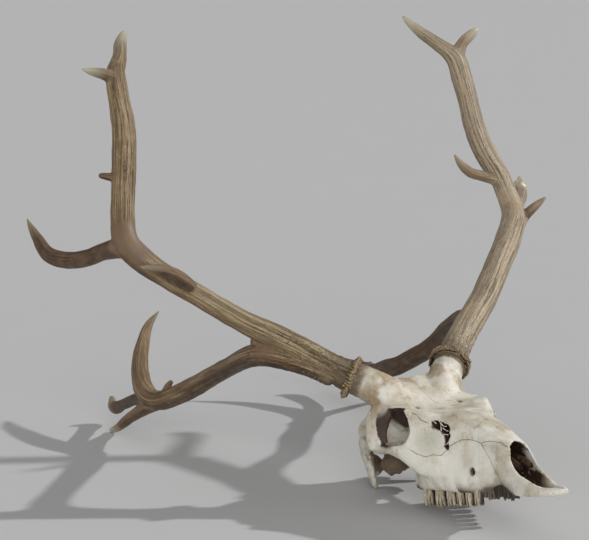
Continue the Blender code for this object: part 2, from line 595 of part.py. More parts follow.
def skull():
    """The bone: lofts, balls and blades grown together, then opened and given its sockets."""
    pieces = [across_head(HEAD_SECTIONS, 14), across_head(ROOF_SECTIONS, 10),
              ball((7.6, 0, 10.2), (6.2, 4.7, 4.6)), ball((13.0, 0, 10.0), (4.4, 3.1, 3.4)),
              ball((3.4, 0, 10.6), (1.7, 5.5, 3.0)), ball((2.4, 0, 12.4), (1.2, 2.8, 1.5)),
              blade([(2.0, 0, 5.2, 1.5, 1.0), (6.0, 0, 5.6, 1.5, 1.1), (11.0, 0, 6.4, 1.3, 1.1),
                     (16.5, 0, 7.2, 1.2, 1.2)], (0, 1, 0))]
    openings = [blade([(27.0, 0, 6.4, 1.6, 1.3), (30.5, 0, 5.9, 2.4, 1.85), (33.6, 0, 5.4, 3.0, 1.85),
                       (35.6, 0, 5.2, 3.2, 1.85), (38.0, 0, 5.2, 3.3, 1.68), (40.6, 0, 5.4, 3.3, 1.1),
                       (41.6, 0, 5.6, 3.2, 0.6)], (0, 0, 1), 1.0, 16),
                ball((0.3, 0, 6.6), (2.6, 1.35, 1.35)), ball((17.0, 0, 5.2), (3.4, 1.5, 1.1))]
    for side in SIDES.values():
        def rows(*stations):
            return [mirrored(station, side) for station in stations]

        pieces += [
            ball((1.0, 1.9 * side, 5.3), (1.5, 1.25, 1.7)),
            ball((4.2, 4.9 * side, 8.8), (1.5, 0.9, 1.7)),
            ball((7.8, 3.0 * side, 5.7), (2.3, 1.5, 1.6)), ball((9.2, 5.0 * side, 8.3), (2.0, 2.0, 0.9)),
            blade(rows((3.4, 4.5, 8.0, 1.25, 0.7), (3.6, 4.4, 6.2, 1.15, 0.55),
                       (3.8, 4.25, 4.2, 0.8, 0.45), (3.95, 4.15, 2.2, 0.38, 0.34)), (1, 0, 0)),
            blade(rows((13.0, 2.2, 11.6, 2.2, 2.2), (12.2, 3.8, 14.4, 2.7, 2.7), (11.0, 5.4, 16.4, 2.65, 2.65),
                       (9.7, 7.1, 17.9, 2.4, 2.4), (7.8, 9.8, 19.8, 2.3, 2.3)), (1, 0, 0)),
            blade(rows((4.8, 5.2, 9.4, 0.8, 0.6), (6.6, 6.9, 9.2, 0.9, 0.5), (9.5, 7.8, 8.9, 0.55, 0.4),
                       (13.0, 8.25, 8.7, 0.6, 0.42), (16.0, 8.2, 8.3, 0.75, 0.45),
                       (18.4, 7.4, 7.6, 1.4, 0.7), (20.4, 6.3, 6.6, 2.1, 0.8),
                       (22.6, 5.0, 6.0, 2.0, 0.8), (24.5, 3.4, 5.6, 1.6, 0.8)), (0, 0, 1)),
            blade(rows((14.6, 6.9, 14.1, 1.0, 0.6), (13.9, 7.8, 13.2, 0.8, 0.5),
                       (13.4, 8.25, 11.6, 0.62, 0.42), (13.3, 8.4, 10.2, 0.6, 0.42),
                       (13.5, 8.3, 8.8, 0.75, 0.45)), (1, 0, 0)),
            blade(rows((16.6, 7.9, 8.5, 0.5, 0.45), (18.6, 7.5, 8.9, 0.45, 0.55),
                       (19.6, 7.0, 10.6, 0.4, 0.5), (19.3, 6.9, 12.4, 0.4, 0.5),
                       (18.3, 7.0, 13.7, 0.45, 0.5)), (1, 0, 0)),
            blade(rows((15.6, 1.7, 8.4, 1.6, 0.35), (14.6, 1.9, 6.0, 1.3, 0.3),
                       (13.4, 2.1, 4.2, 0.5, 0.25)), (1, 0, 0)),
        ]
        openings += [
            blade(rows((17.0, 9.4, 11.8, 2.75, 2.6), (16.6, 7.4, 11.7, 2.7, 2.55),
                       (15.8, 5.2, 11.3, 2.3, 2.1), (15.0, 3.9, 11.0, 1.2, 1.2)), (1, 0, 0)),
            blade(rows((22.9, 6.4, 11.4, 1.25, 0.75), (22.9, 2.9, 10.8, 1.25, 0.75)), (1, 0, -0.35)),
            blade(rows((23.9, 6.4, 9.2, 0.55, 1.9), (23.8, 2.9, 9.0, 0.55, 1.9)), (1, 0, 0)),
            ball((27.6, 4.0 * side, 4.7), (0.45, 1.0, 0.5), 12),
            ball((16.9, 3.7 * side, 14.2), (0.3, 0.3, 1.0), 12),
            ball((35.6, 0.95 * side, 1.6), (2.9, 0.52, 1.2), 16),
        ]
    bone = cut(fuse("skull", pieces, SKULL_GRAIN, 5), openings)
    bone = thin(fuse("skull", [bone], SKULL_GRAIN, 2), SKULL_FACES)
    sockets = []
    for side_name in SIDES:
        def socket(name, centre, along, length, width, lobes):
            sockets.append(tooth(centre, along, length, width, lobes, SOCKET_PLAY, SOCKET_LEVELS))

        tooth_row(side_name, socket)
    faces = []
    for side in SIDES.values():
        faces.append(burr_knife(side, BURR_CUT - GAP, 1))
        faces.append(floor_block(EAR_PRONG_TIP[0], EAR_PRONG_TIP[1] * side))
    keep(cut(bone, sockets + faces), "skull", BONE)


def teeth():
    """The two rows of cheek teeth, each tooth a piece of its own in its socket."""
    for side_name in SIDES:
        def crown(name, centre, along, length, width, lobes):
            grown = tooth(centre, along, length, width, lobes, 0.0, CROWN_LEVELS)
            keep(grown, f"{name}_{side_name}", ENAMEL)

        tooth_row(side_name, crown)


def settle():
    """Tip the pose and centre its footprint on the origin, on the floor."""
    pose.rotation_euler = (-math.radians(NOSE_UP), 0, 0)
    bpy.context.view_layer.update()
    points = [thing.matrix_world @ vertex.co for thing in parts.objects if thing.type == "MESH"
              for vertex in thing.data.vertices]
    lows = [min(point[axis] for point in points) for axis in range(3)]
    highs = [max(point[axis] for point in points) for axis in range(3)]
    pose.location = (-(lows[0] + highs[0]) / 2, -(lows[1] + highs[1]) / 2, -lows[2])


skull()
teeth()
for name in SIDES:
    antler(name)
settle()
for tool in cutters.objects:
    tool.hide_render = True
    tool.display_type = "WIRE"
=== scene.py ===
"""Looks of a Pere David's deer antler rack: a bleached skull with both antlers, on a pale floor.

Places on the bone and the antlers are drawn in the animal's own frame, in centimetres:
forward from the back of the skull, left of the animal, and up from the plane of the teeth.
"""
import math

import bmesh
import bpy
import numpy as np
from mathutils import Matrix, Vector, noise
from mathutils.bvhtree import BVHTree


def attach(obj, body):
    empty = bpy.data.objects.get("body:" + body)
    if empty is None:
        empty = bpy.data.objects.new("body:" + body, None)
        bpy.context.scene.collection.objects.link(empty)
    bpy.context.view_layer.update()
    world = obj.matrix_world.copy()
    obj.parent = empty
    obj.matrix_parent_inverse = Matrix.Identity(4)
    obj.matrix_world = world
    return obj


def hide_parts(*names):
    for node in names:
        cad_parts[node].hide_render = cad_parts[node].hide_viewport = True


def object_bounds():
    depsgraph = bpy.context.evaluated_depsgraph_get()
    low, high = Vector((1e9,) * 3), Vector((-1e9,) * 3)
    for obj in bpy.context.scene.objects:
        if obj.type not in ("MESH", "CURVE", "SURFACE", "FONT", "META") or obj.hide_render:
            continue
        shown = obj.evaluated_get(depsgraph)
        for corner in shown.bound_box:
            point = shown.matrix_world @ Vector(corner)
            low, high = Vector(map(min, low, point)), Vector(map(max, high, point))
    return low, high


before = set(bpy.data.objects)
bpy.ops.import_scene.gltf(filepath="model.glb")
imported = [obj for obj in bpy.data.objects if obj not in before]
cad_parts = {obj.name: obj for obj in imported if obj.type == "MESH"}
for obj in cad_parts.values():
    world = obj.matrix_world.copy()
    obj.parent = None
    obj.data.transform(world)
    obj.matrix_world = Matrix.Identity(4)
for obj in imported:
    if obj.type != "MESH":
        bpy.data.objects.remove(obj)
cad_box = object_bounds()


# How the rack lies: on the two bone prongs behind the ears and on the tip of one back tine at
# each side, so the muzzle points up into the air.

CM = 0.01
NOSE_UP = 13.5
FLOOR_AT_ORIGIN = 3.07
AT_REST = (Matrix.Translation((-0.01163, -0.08195, -0.02970))
           @ Matrix.Rotation(-math.radians(NOSE_UP), 4, "X"))


def spot(forward, left, up):
    """A place in the animal's frame, in centimetres, as x, y, z of the lying rack in metres."""
    return AT_REST @ (Vector((left, -forward, up)) * CM)


def animal_frame(points):
    """Columns forward, left and up, in centimetres, of an array of places in metres."""
    back = np.array(AT_REST.inverted())
    local = points @ back[:3, :3].T + back[:3, 3]
    return np.stack([-local[:, 1], local[:, 0], local[:, 2]], axis=1) / CM


# Camera: a long lens well over two metres away, a little above the antlers' tips and looking
# slightly down, from the animal's right and in front of it.


def link(name, data):
    """A new object in the scene, of a mesh, a camera or a light."""
    thing = bpy.data.objects.new(name, data)
    bpy.context.scene.collection.objects.link(thing)
    return thing


camera = link("camera", bpy.data.cameras.new("camera"))
camera.data.sensor_width = 36.0
camera.data.lens = 105.0
camera.location = (-1.4239, -2.1412, 0.7304)
camera.rotation_euler = Vector((0.51258, 0.84304, -0.16292)).to_track_quat("-Z", "Y").to_euler()
bpy.context.scene.camera = camera


# Floor and light: one even grey floor that runs out of sight, a low key light from behind on
# the right, which throws the long shadows forward, and wide soft lights above, in front and left.

SCREEN_TURN = Matrix.Rotation(math.radians(-31.3), 4, "Z")
FLOOR_GREY = 0.57
FLOOR_REACH = 150.0
WORLD_STRENGTH = 0.20


class Field:
    """A number that changes over a surface, so that sums on it are written as arithmetic."""

    def __init__(self, finish, socket):
        self.finish = finish
        self.socket = socket

    def sum(self, operation, first, second=0.0):
        result = self.finish.node("ShaderNodeMath", {"operation": operation}, {0: first, 1: second})
        return Field(self.finish, result.outputs[0])

    def __add__(self, other):
        return self.sum("ADD", self, other)

    def __radd__(self, other):
        return self.sum("ADD", other, self)

    def __sub__(self, other):
        return self.sum("SUBTRACT", self, other)

    def __rsub__(self, other):
        return self.sum("SUBTRACT", other, self)

    def __mul__(self, other):
        return self.sum("MULTIPLY", self, other)

    def __rmul__(self, other):
        return self.sum("MULTIPLY", other, self)

    def __abs__(self):
        return self.sum("ABSOLUTE", self)

    def ramp(self, low, high):
        """0 below low and 1 above high, eased between; the other way round if low is the larger."""
        made = self.finish.node("ShaderNodeMapRange", {"interpolation_type": "SMOOTHSTEP"},
                                {"Value": self, "From Min": low, "From Max": high})
        return Field(self.finish, made.outputs["Result"])


class Nodes:
    """A node tree, added to node by node."""

    def set(self, socket, value):
        if isinstance(value, Field):
            value = value.socket
        if isinstance(value, bpy.types.NodeSocket):
            self.tree.links.new(value, socket)
        else:
            socket.default_value = value

    def node(self, kind, settings=None, values=None):
        """Any node: its settings first, then its sockets."""
        made = self.tree.nodes.new(kind)
        for name, value in (settings or {}).items():
            setattr(made, name, value)
        for key, value in (values or {}).items():
            self.set(made.inputs[key], value)
        return made


class Finish(Nodes):
    """A procedural material."""

    def __init__(self, name):
        self.material = bpy.data.materials.new(name)
        self.material.use_nodes = True
        self.tree = self.material.node_tree
        self.shader = self.tree.nodes["Principled BSDF"]

    def place(self):
        """The surface's own place in the object's frame."""
        return self.node("ShaderNodeTexCoord").outputs["Object"]

    def attribute(self, name):
        return self.node("ShaderNodeAttribute", {"attribute_name": name})

    def channels(self, name):
        """The four numbers of a colour attribute."""
        source = self.attribute(name)
        split = self.node("ShaderNodeSeparateColor", {}, {"Color": source.outputs["Color"]})
        return [Field(self, socket) for socket in (*split.outputs[:3], source.outputs["Alpha"])]

    def noise(self, vector, scale, detail=3.0, roughness=0.55):
        made = self.node("ShaderNodeTexNoise", {},
                         {"Vector": vector, "Scale": scale, "Detail": detail, "Roughness": roughness})
        return Field(self, made.outputs["Fac"])

    def stretched(self, vector, scale):
        """The same places with each axis drawn out or squeezed."""
        made = self.node("ShaderNodeMapping", {"vector_type": "POINT"},
                         {"Vector": vector, "Scale": scale})
        return made.outputs["Vector"]

    def mix(self, amount, first, second):
        """One colour turning into another by an amount from 0 to 1."""
        made = self.node("ShaderNodeMix", {"data_type": "RGBA"}, {"Factor": amount})
        for number, colour in ((6, first), (7, second)):
            self.set(made.inputs[number], (*colour, 1.0) if isinstance(colour, tuple) else colour)
        return made.outputs[2]

    def layers(self, colour, *coats):
        """A colour under further coats, each given by its amount from 0 to 1 and its own colour."""
        for amount, coat in coats:
            colour = self.mix(amount, colour, coat)
        return colour

    def finish(self, colour, roughness, height=None, depth=0.001, **constants):
        """Feed the shader: colour, roughness, a bump's height and its depth in metres."""
        self.set(self.shader.inputs["Base Color"], colour)
        self.set(self.shader.inputs["Roughness"], roughness)
        if height is not None:
            bump = self.node("ShaderNodeBump", {}, {"Height": height, "Distance": depth, "Strength": 1.0})
            self.set(self.shader.inputs["Normal"], bump.outputs["Normal"])
        for name, value in constants.items():
            self.shader.inputs[name.replace("_", " ")].default_value = value
        return self.material


def from_shape(name, shape):
    """A new object from a built shape, which is given back."""
    mesh = bpy.data.meshes.new(name)
    shape.to_mesh(mesh)
    shape.free()
    return link(name, mesh)


def lamp(name, travels, strength, spread):
    """A light whose rays travel right, away and up on the screen; its spread softens shadows."""
    light = link(name, bpy.data.lights.new(name, "SUN"))
    direction = SCREEN_TURN @ Vector(travels)
    light.rotation_euler = direction.to_track_quat("-Z", "Y").to_euler()
    light.data.energy = strength
    light.data.angle = math.radians(spread)


paint = Finish("pale_studio_floor")
speckle = paint.noise(paint.place(), 3.0, 2.0)
shade = paint.mix(speckle, (FLOOR_GREY * 0.99,) * 3, (FLOOR_GREY * 1.01,) * 3)
floor_shape = bmesh.new()
bmesh.ops.create_grid(floor_shape, x_segments=1, y_segments=1, size=FLOOR_REACH)
floor = from_shape("studio_floor", floor_shape)
floor.data.materials.append(paint.finish(shade, 0.95, Specular_IOR_Level=0.2))

lamp("key_light", (-1.47, -0.51, -1.0), 1.95, 1.8)
lamp("overhead_soft_light", (0.1, 0.1, -1.0), 0.32, 70.0)
lamp("front_soft_light", (-0.15, 1.0, -0.22), 1.8, 45.0)
lamp("left_soft_light", (1.0, 0.45, -0.12), 0.45, 60.0)
world = bpy.data.worlds.new("studio_air")
world.use_nodes = True
air = world.node_tree.nodes["Background"].inputs
air["Color"].default_value = (1.0, 1.0, 1.0, 1.0)
air["Strength"].default_value = WORLD_STRENGTH
bpy.context.scene.world = world
bpy.context.scene.view_settings.view_transform = "Standard"


# Skull: one grown bone, bleached and dry. It is drawn as outlines across the head, with balls
# for the brain case and bars for arches and prongs, grown into one skin and then opened.

SKULL_LENGTH = 42.6
SKULL_SKIN = 0.181
OPENING_SKIN = 0.13
BEAM_DIRECTION = Vector((-7.2, 10.1, 7.4)).normalized()
BURR_MIDDLE = Vector((8.5, 8.75, 19.0))
BURR_CUT = -0.45
EAR_PRONG_TIP = (3.95, 4.15)
# The row of cheek teeth starts and ends at these places, forward and left
ROW_FRONT = Vector((28.75, 3.55))
ROW_BACK = Vector((17.0, 5.35))
# Forward and up for the eye and the nerve hole on the face, forward and left for the one on the brow
EYE_MIDDLE = (17.0, 11.7)
NERVE_HOLE = (27.6, 4.7)
BROW_HOLE = (16.9, 3.7)


def between(rows, place):
    """Values at a fractional place along rows, read from a smooth curve through them."""
    index = min(int(place), len(rows) - 2)
    t = place - index
    ends = [rows[0], *rows, rows[-1]]
    return [0.5 * (2 * q + (r - p) * t + (2 * p - 5 * q + 4 * r - s) * t * t
                   + (3 * q - p - 3 * r + s) * t ** 3) for p, q, r, s in zip(*ends[index:index + 4])]


def curve_through(stations, step):
    """Stations about a step apart along the smooth curve through the given ones."""
    out = []
    for k in range(len(stations) - 1):
        count = max(1, round(math.dist(stations[k][:3], stations[k + 1][:3]) / step))
        out += [between(stations, k + j / count) for j in range(count)]
    return out + [list(stations[-1])]


def on_side(side, stations):
    """Stations of the left side as they are, or with side -1 the same ones on the right."""
    return [(row[0], row[1] * side, *row[2:]) for row in stations]


def loft(rings, name="loft"):
    """One closed solid through rings that all have the same number of points."""
    shape = bmesh.new()
    loops = [[shape.verts.new(point) for point in ring] for ring in rings]
    for low, high in zip(loops, loops[1:]):
        for a, b, c, d in zip(low, low[1:] + low[:1], high[1:] + high[:1], high):
            shape.faces.new((a, b, c, d))
    shape.faces.new(list(reversed(loops[0])))
    shape.faces.new(loops[-1])
    bmesh.ops.recalc_face_normals(shape, faces=shape.faces)
    return from_shape(name, shape)


def bar(stations, across, side=1, step=0.5, corners=20):
    """An oval bar: each station is forward, left, up, half width and half thickness."""
    rows = curve_through(on_side(side, stations), step)
    centres = [spot(*row[:3]) for row in rows]
    wide = (spot(*across) - spot(0, 0, 0)).normalized()
    rings = []
    for k, row in enumerate(rows):
        along = centres[min(k + 1, len(rows) - 1)] - centres[max(k - 1, 0)]
        thick = along.cross(wide).normalized()
        flat = thick.cross(along).normalized()
        rings.append([centres[k] + flat * (row[3] * CM * math.cos(turn))
                      + thick * (row[4] * CM * math.sin(turn))
                      for turn in (math.tau * j / corners for j in range(corners))])
    return loft(rings)


def ball(centre, radii, segments=32):
    """A rounded lump with half sizes along forward, left and up."""
    shape = bmesh.new()
    bmesh.ops.create_uvsphere(shape, u_segments=segments, v_segments=segments // 2, radius=1.0)
    size = Matrix.Diagonal((radii[1] * CM, radii[0] * CM, radii[2] * CM, 1.0))
    turn = Matrix.Translation(spot(*centre)) @ AT_REST.to_3x3().to_4x4()
    bmesh.ops.transform(shape, verts=shape.verts, matrix=turn @ size)
    return from_shape("ball", shape)


def knife(place, axis, reach, depth):
    """A block that starts at a place and takes off what lies beyond it along an axis."""
    shape = bmesh.new()
    bmesh.ops.create_cube(shape, size=2.0)
    size = Matrix.Diagonal((depth * CM, reach * CM, reach * CM, 1.0))
    turn = axis.to_track_quat("X", "Z").to_matrix().to_4x4()
    middle = Matrix.Translation(place + axis * (depth * CM))
    bmesh.ops.transform(shape, verts=shape.verts, matrix=middle @ turn @ size)
    return from_shape("knife", shape)


def made_plain(thing, name):
    """The object with its modifiers carried out, as one plain mesh that replaces it."""
    bpy.context.view_layer.update()
    graph = bpy.context.evaluated_depsgraph_get()
    mesh = bpy.data.meshes.new_from_object(thing.evaluated_get(graph))
    bpy.data.objects.remove(thing, do_unlink=True)
    return link(name, mesh)


def grown(name, pieces, skin, rounds):
    """One skin over all the pieces, rubbed smooth, as bone grows."""
    shape = bmesh.new()
    for piece in pieces:
        shape.from_mesh(piece.data)
        bpy.data.objects.remove(piece, do_unlink=True)
    thing = from_shape(name, shape)
    coat = thing.modifiers.new("skin", "REMESH")
    coat.mode = "VOXEL"
    coat.voxel_size = skin * CM
    rub = thing.modifiers.new("rub", "SMOOTH")
    rub.factor = 0.5
    rub.iterations = rounds
    return made_plain(thing, name)


def opened(thing, tools):
    """Take each tool out of the thing."""
    for tool in tools:
        opening = thing.modifiers.new("opening", "BOOLEAN")
        opening.operation = "DIFFERENCE"
        opening.solver = "EXACT"
        opening.object = tool
    result = made_plain(thing, thing.name)
    for tool in tools:
        bpy.data.objects.remove(tool, do_unlink=True)
    return result


def floor_knife(forward, left):
    """What takes a tip off flat where it stands on the floor."""
    slope = math.radians(NOSE_UP)
    place = spot(forward, left, FLOOR_AT_ORIGIN - forward * math.tan(slope))
    return knife(place, Vector((0, 0, -1)), 3.0, 2.0)


def burr_frame(side):
    """The middle of an antler's burr, with Z out along the beam."""
    beam = spot(BEAM_DIRECTION[0], BEAM_DIRECTION[1] * side, BEAM_DIRECTION[2]) - spot(0, 0, 0)
    turn = beam.normalized().to_track_quat("Z", "Y").to_matrix().to_4x4()
    return Matrix.Translation(spot(BURR_MIDDLE[0], BURR_MIDDLE[1] * side, BURR_MIDDLE[2])) @ turn


def burr_knife(side, start, way):
    """What takes off all beyond a height on the burr's axis, outwards with way 1, inwards with -1."""
    seat = burr_frame(side)
    axis = seat.to_3x3() @ Vector((0, 0, 1))
    return knife(seat.translation + axis * (start * CM), axis * way, 3.4, 1.6)


HEAD_SECTIONS = [
    (15.6, [(0, 12.6), (2.4, 12.6), (2.9, 11.2), (3.0, 8.6), (4.2, 5.4), (4.9, 2.9), (3.8, 2.6), (0, 5.0)]),
    (17.6, [(0, 12.8), (3.2, 12.8), (3.8, 11.0), (4.4, 8.2), (5.2, 5.0), (5.35, 2.7), (3.6, 2.6), (0, 4.2)]),
    (19.4, [(0, 12.9), (5.0, 13.2), (6.8, 12.0), (7.1, 8.6), (6.1, 4.8), (5.2, 2.45), (3.3, 2.5), (0, 4.0)]),
    (22.4, [(0, 12.8), (3.9, 12.5), (5.0, 11.0), (5.5, 7.8), (5.8, 4.6), (4.8, 2.3), (2.9, 2.3), (0, 3.6)]),
    (25.5, [(0, 12.3), (2.8, 11.7), (3.8, 9.8), (4.1, 7.0), (4.5, 4.5), (4.2, 1.95), (2.4, 2.1), (0, 3.3)]),
    (28.5, [(0, 11.1), (2.2, 10.6), (2.8, 8.9), (3.1, 6.5), (3.4, 4.2), (3.3, 1.85), (1.9, 2.0), (0, 3.0)]),
    (31.5, [(0, 9.4), (1.8, 9.0), (2.3, 7.6), (2.5, 5.8), (2.5, 4.2), (2.2, 2.95), (1.4, 2.8), (0, 3.2)]),
    (33.9, [(0, 7.9), (1.5, 7.6), (2.1, 6.3), (2.25, 5.0), (2.25, 3.4), (2.1, 1.6), (1.3, 1.5), (0, 1.8)]),
    (35.2, [(0, 4.9), (1.6, 4.9), (2.1, 4.6), (2.2, 3.8), (2.2, 2.8), (2.1, 1.4), (1.2, 1.3), (0, 1.5)]),
    (37.0, [(0, 3.6), (1.5, 3.6), (2.0, 3.4), (2.1, 2.9), (2.1, 2.2), (2.0, 1.3), (1.1, 1.2), (0, 1.3)]),
    (39.0, [(0, 2.5), (1.3, 2.5), (1.75, 2.4), (1.9, 2.1), (1.9, 1.8), (1.75, 1.25), (0.9, 1.2), (0, 1.25)]),
    (41.0, [(0, 2.2), (0.9, 2.3), (1.25, 2.2), (1.4, 2.0), (1.4, 1.7), (1.25, 1.3), (0.7, 1.2), (0, 1.2)]),
    (SKULL_LENGTH, [(0, 2.1), (0.3, 2.1), (0.5, 2.0), (0.55, 1.85), (0.55, 1.7), (0.5, 1.5),
                    (0.3, 1.45), (0, 1.45)]),
]
ROOF_SECTIONS = [
    (3.6, [(0, 13.6), (2.0, 13.3), (3.2, 12.4), (2.4, 11.4), (0, 11.2)]),
    (6.2, [(0, 15.8), (3.0, 15.6), (4.6, 14.0), (3.2, 12.2), (0, 11.8)]),
    (9.3, [(0, 17.9), (3.6, 18.0), (5.8, 16.2), (4.6, 13.6), (0, 12.4)]),
    (11.6, [(0, 17.0), (3.8, 17.3), (6.5, 15.8), (4.8, 13.6), (0, 12.4)]),
    (13.6, [(0, 15.6), (3.9, 15.9), (7.2, 14.6), (5.0, 13.2), (0, 12.4)]),
    (15.6, [(0, 14.3), (3.8, 14.5), (7.5, 14.3), (5.2, 13.3), (0, 12.2)]),
    (17.6, [(0, 13.4), (3.7, 13.5), (7.1, 14.1), (5.4, 13.1), (0, 12.0)]),
    (19.8, [(0, 13.1), (3.4, 13.1), (6.3, 13.3), (5.2, 12.4), (0, 11.8)]),
    (22.4, [(0, 12.9), (3.0, 12.8), (4.6, 12.1), (3.8, 11.3), (0, 11.3)]),
]


def across_head(sections, points):
    """A loft of half outlines, mirrored to whole ones and made smooth both ways."""
    flat = [[forward, 0.0, 0.0] + [value for corner in half for value in corner]
            for forward, half in sections]
    rings = []
    for row in curve_through(flat, 0.5):
        half = list(zip(row[3::2], row[4::2]))
        left = [between(half, k * (len(half) - 1) / points) for k in range(points + 1)]
        right = [(-across, up) for across, up in reversed(left[1:-1])]
        rings.append([spot(row[0], across, up) for across, up in left + right])
    return loft(rings)


def skull_forms(side):
    """The bone's lumps, pedicle, cheek arch, prongs and eye rim on one side of the head."""
    return [
        ball((1.0, 1.9 * side, 5.3), (1.5, 1.25, 1.7)),
        ball((4.2, 4.9 * side, 8.8), (1.5, 0.9, 1.7)),
        ball((7.8, 3.0 * side, 5.7), (2.3, 1.5, 1.6)),
        ball((9.2, 5.0 * side, 8.3), (2.0, 2.0, 0.9)),
        bar([(3.4, 4.5, 8.0, 1.55, 0.7), (3.6, 4.4, 6.2, 1.4, 0.55), (3.8, 4.25, 4.2, 0.9, 0.45),
             (*EAR_PRONG_TIP, 2.2, 0.38, 0.34)], (1, 0, 0), side),
        bar([(13.0, 2.2, 11.6, 2.2, 2.2), (12.2, 3.8, 14.4, 2.7, 2.7), (11.0, 5.4, 16.4, 2.65, 2.65),
             (9.7, 7.1, 17.9, 2.4, 2.4), (7.8, 9.8, 19.8, 2.3, 2.3)], (1, 0, 0), side),
        bar([(4.8, 5.2, 9.4, 0.8, 0.6), (6.6, 6.9, 9.2, 0.9, 0.5), (9.5, 7.8, 8.9, 0.55, 0.4),
             (13.0, 8.25, 8.7, 0.6, 0.42), (16.0, 8.2, 8.3, 0.75, 0.45), (18.4, 7.4, 7.6, 1.4, 0.7),
             (20.4, 6.3, 6.6, 2.1, 0.8), (22.6, 5.0, 6.0, 2.0, 0.8), (24.5, 3.4, 5.6, 1.6, 0.8)],
            (0, 0, 1), side),
        bar([(13.8, 6.6, 14.2, 1.7, 0.8), (12.7, 7.5, 13.1, 2.0, 0.75), (12.1, 7.9, 11.6, 1.9, 0.7),
             (12.1, 8.1, 10.2, 1.8, 0.6), (12.6, 8.15, 8.8, 1.7, 0.45)], (1, -0.45 * side, 0), side),
        bar([(16.6, 7.9, 8.5, 0.5, 0.45), (18.6, 7.5, 8.9, 0.45, 0.55), (19.6, 7.0, 10.6, 0.4, 0.5),
             (19.3, 6.9, 12.4, 0.4, 0.5), (18.3, 7.0, 13.7, 0.45, 0.5)], (1, 0, 0), side),
        bar([(15.6, 1.7, 8.4, 1.6, 0.35), (14.6, 1.9, 6.0, 1.3, 0.3), (13.4, 2.1, 4.2, 0.5, 0.25)],
            (1, 0, 0), side),
    ]


def skull_openings(side):
    """Eye socket, gap in front of the eye, nerve holes and palate gap on one side."""
    return [
        bar([(17.2, 9.4, 11.8, 2.45, 2.6), (16.9, 7.4, 11.7, 2.42, 2.55), (16.0, 5.2, 11.3, 2.3, 2.1),
             (15.0, 3.9, 11.0, 1.2, 1.2)], (1, 0, 0), side),
        bar([(22.8, 6.4, 11.5, 1.25, 0.55), (22.8, 2.9, 10.9, 1.25, 0.55)], (1, 0, -0.35), side),
        bar([(23.7, 6.4, 10.7, 0.62, 0.75), (23.7, 2.9, 10.5, 0.62, 0.75)], (1, 0, 0), side),
        bar([(23.95, 6.4, 9.0, 0.26, 1.5), (23.9, 2.9, 8.9, 0.26, 1.5)], (1, 0, 0.1), side),
        ball((22.0, 5.3 * side, 11.2), (0.3, 1.2, 0.3), 16),
        ball((24.3, 4.6 * side, 9.7), (0.3, 1.0, 0.25), 16),
        ball((23.6, 4.8 * side, 8.3), (0.25, 1.0, 0.2), 16),
        ball((NERVE_HOLE[0], 3.6 * side, NERVE_HOLE[1]), (0.52, 1.5, 0.6), 20),
        ball((BROW_HOLE[0], BROW_HOLE[1] * side, 14.2), (0.3, 0.3, 1.0), 16),
        ball((35.6, 0.95 * side, 1.6), (2.9, 0.52, 1.2), 20),
    ]


def grow_skull():
    """The whole bone at its fine grain, opened and trimmed where it meets antlers and floor."""
    forms = [across_head(HEAD_SECTIONS, 24), across_head(ROOF_SECTIONS, 20),
             ball((7.6, 0, 10.2), (6.2, 4.7, 4.6)), ball((13.0, 0, 10.0), (4.4, 3.1, 3.4)),
             ball((3.4, 0, 10.6), (1.7, 5.5, 3.0)), ball((2.4, 0, 12.4), (1.2, 2.8, 1.5)),
             bar([(2.0, 0, 5.2, 1.5, 1.0), (6.0, 0, 5.6, 1.5, 1.1), (11.0, 0, 6.4, 1.3, 1.1),
                  (16.5, 0, 7.2, 1.2, 1.2)], (0, 1, 0))]
    openings = [bar([(27.0, 0, 6.4, 1.6, 1.3), (30.5, 0, 5.9, 2.4, 1.85), (33.6, 0, 5.4, 3.0, 1.85),
                     (35.6, 0, 5.0, 3.2, 1.86), (38.0, 0, 4.9, 3.3, 1.72), (39.8, 0, 4.9, 3.3, 1.38),
                     (41.2, 0, 5.0, 3.3, 0.85), (41.9, 0, 5.2, 3.3, 0.4)], (0, 0, 1)),
                ball((0.3, 0, 6.6), (2.6, 1.35, 1.35)), ball((17.0, 0, 5.2), (3.4, 1.5, 1.1))]
    for side in (-1, 1):
        forms += skull_forms(side)
        openings += skull_openings(side)
    bone = grown("dry_skull", forms, SKULL_SKIN, 5)
    bone = opened(bone, [grown("openings", openings, OPENING_SKIN, 1)])
    bone = grown("dry_skull", [bone], SKULL_SKIN, 2)
    faces = []
    for side in (-1, 1):
        faces.append(burr_knife(side, BURR_CUT, 1))
        faces.append(floor_knife(EAR_PRONG_TIP[0], EAR_PRONG_TIP[1] * side))
    return opened(bone, faces)


def mesh_points(mesh):
    """A mesh's places in metres, one row each."""
    flat = np.empty(len(mesh.vertices) * 3)
    mesh.vertices.foreach_get("co", flat)
    return flat.reshape(-1, 3)


def mesh_normals(mesh):
    """The directions a mesh's points face, one row each."""
    flat = np.empty(len(mesh.vertices) * 3)
    mesh.vertex_normals.foreach_get("vector", flat)
    return flat.reshape(-1, 3)


def lengths(rows):
    """The length of each row, taken as a vector."""
    return np.linalg.norm(rows, axis=1)


def limited(values):
    """The values held between 0 and 1."""
    return np.clip(values, 0, 1)


def move_points(mesh, points):
    """Move a mesh's points, and none of them out of the frame's box."""
    mesh.vertices.foreach_set("co", np.clip(points, *np.array(cad_box)).ravel())
    mesh.update()


def mark(mesh, name, kind, values):
    """Keep a value for every point of the mesh, for its material to read."""
    field = {"FLOAT": "value", "FLOAT_VECTOR": "vector", "FLOAT_COLOR": "color"}[kind]
    layer = mesh.attributes.new(name, kind, "POINT")
    layer.data.foreach_set(field, np.ascontiguousarray(values, dtype=np.float32).ravel())


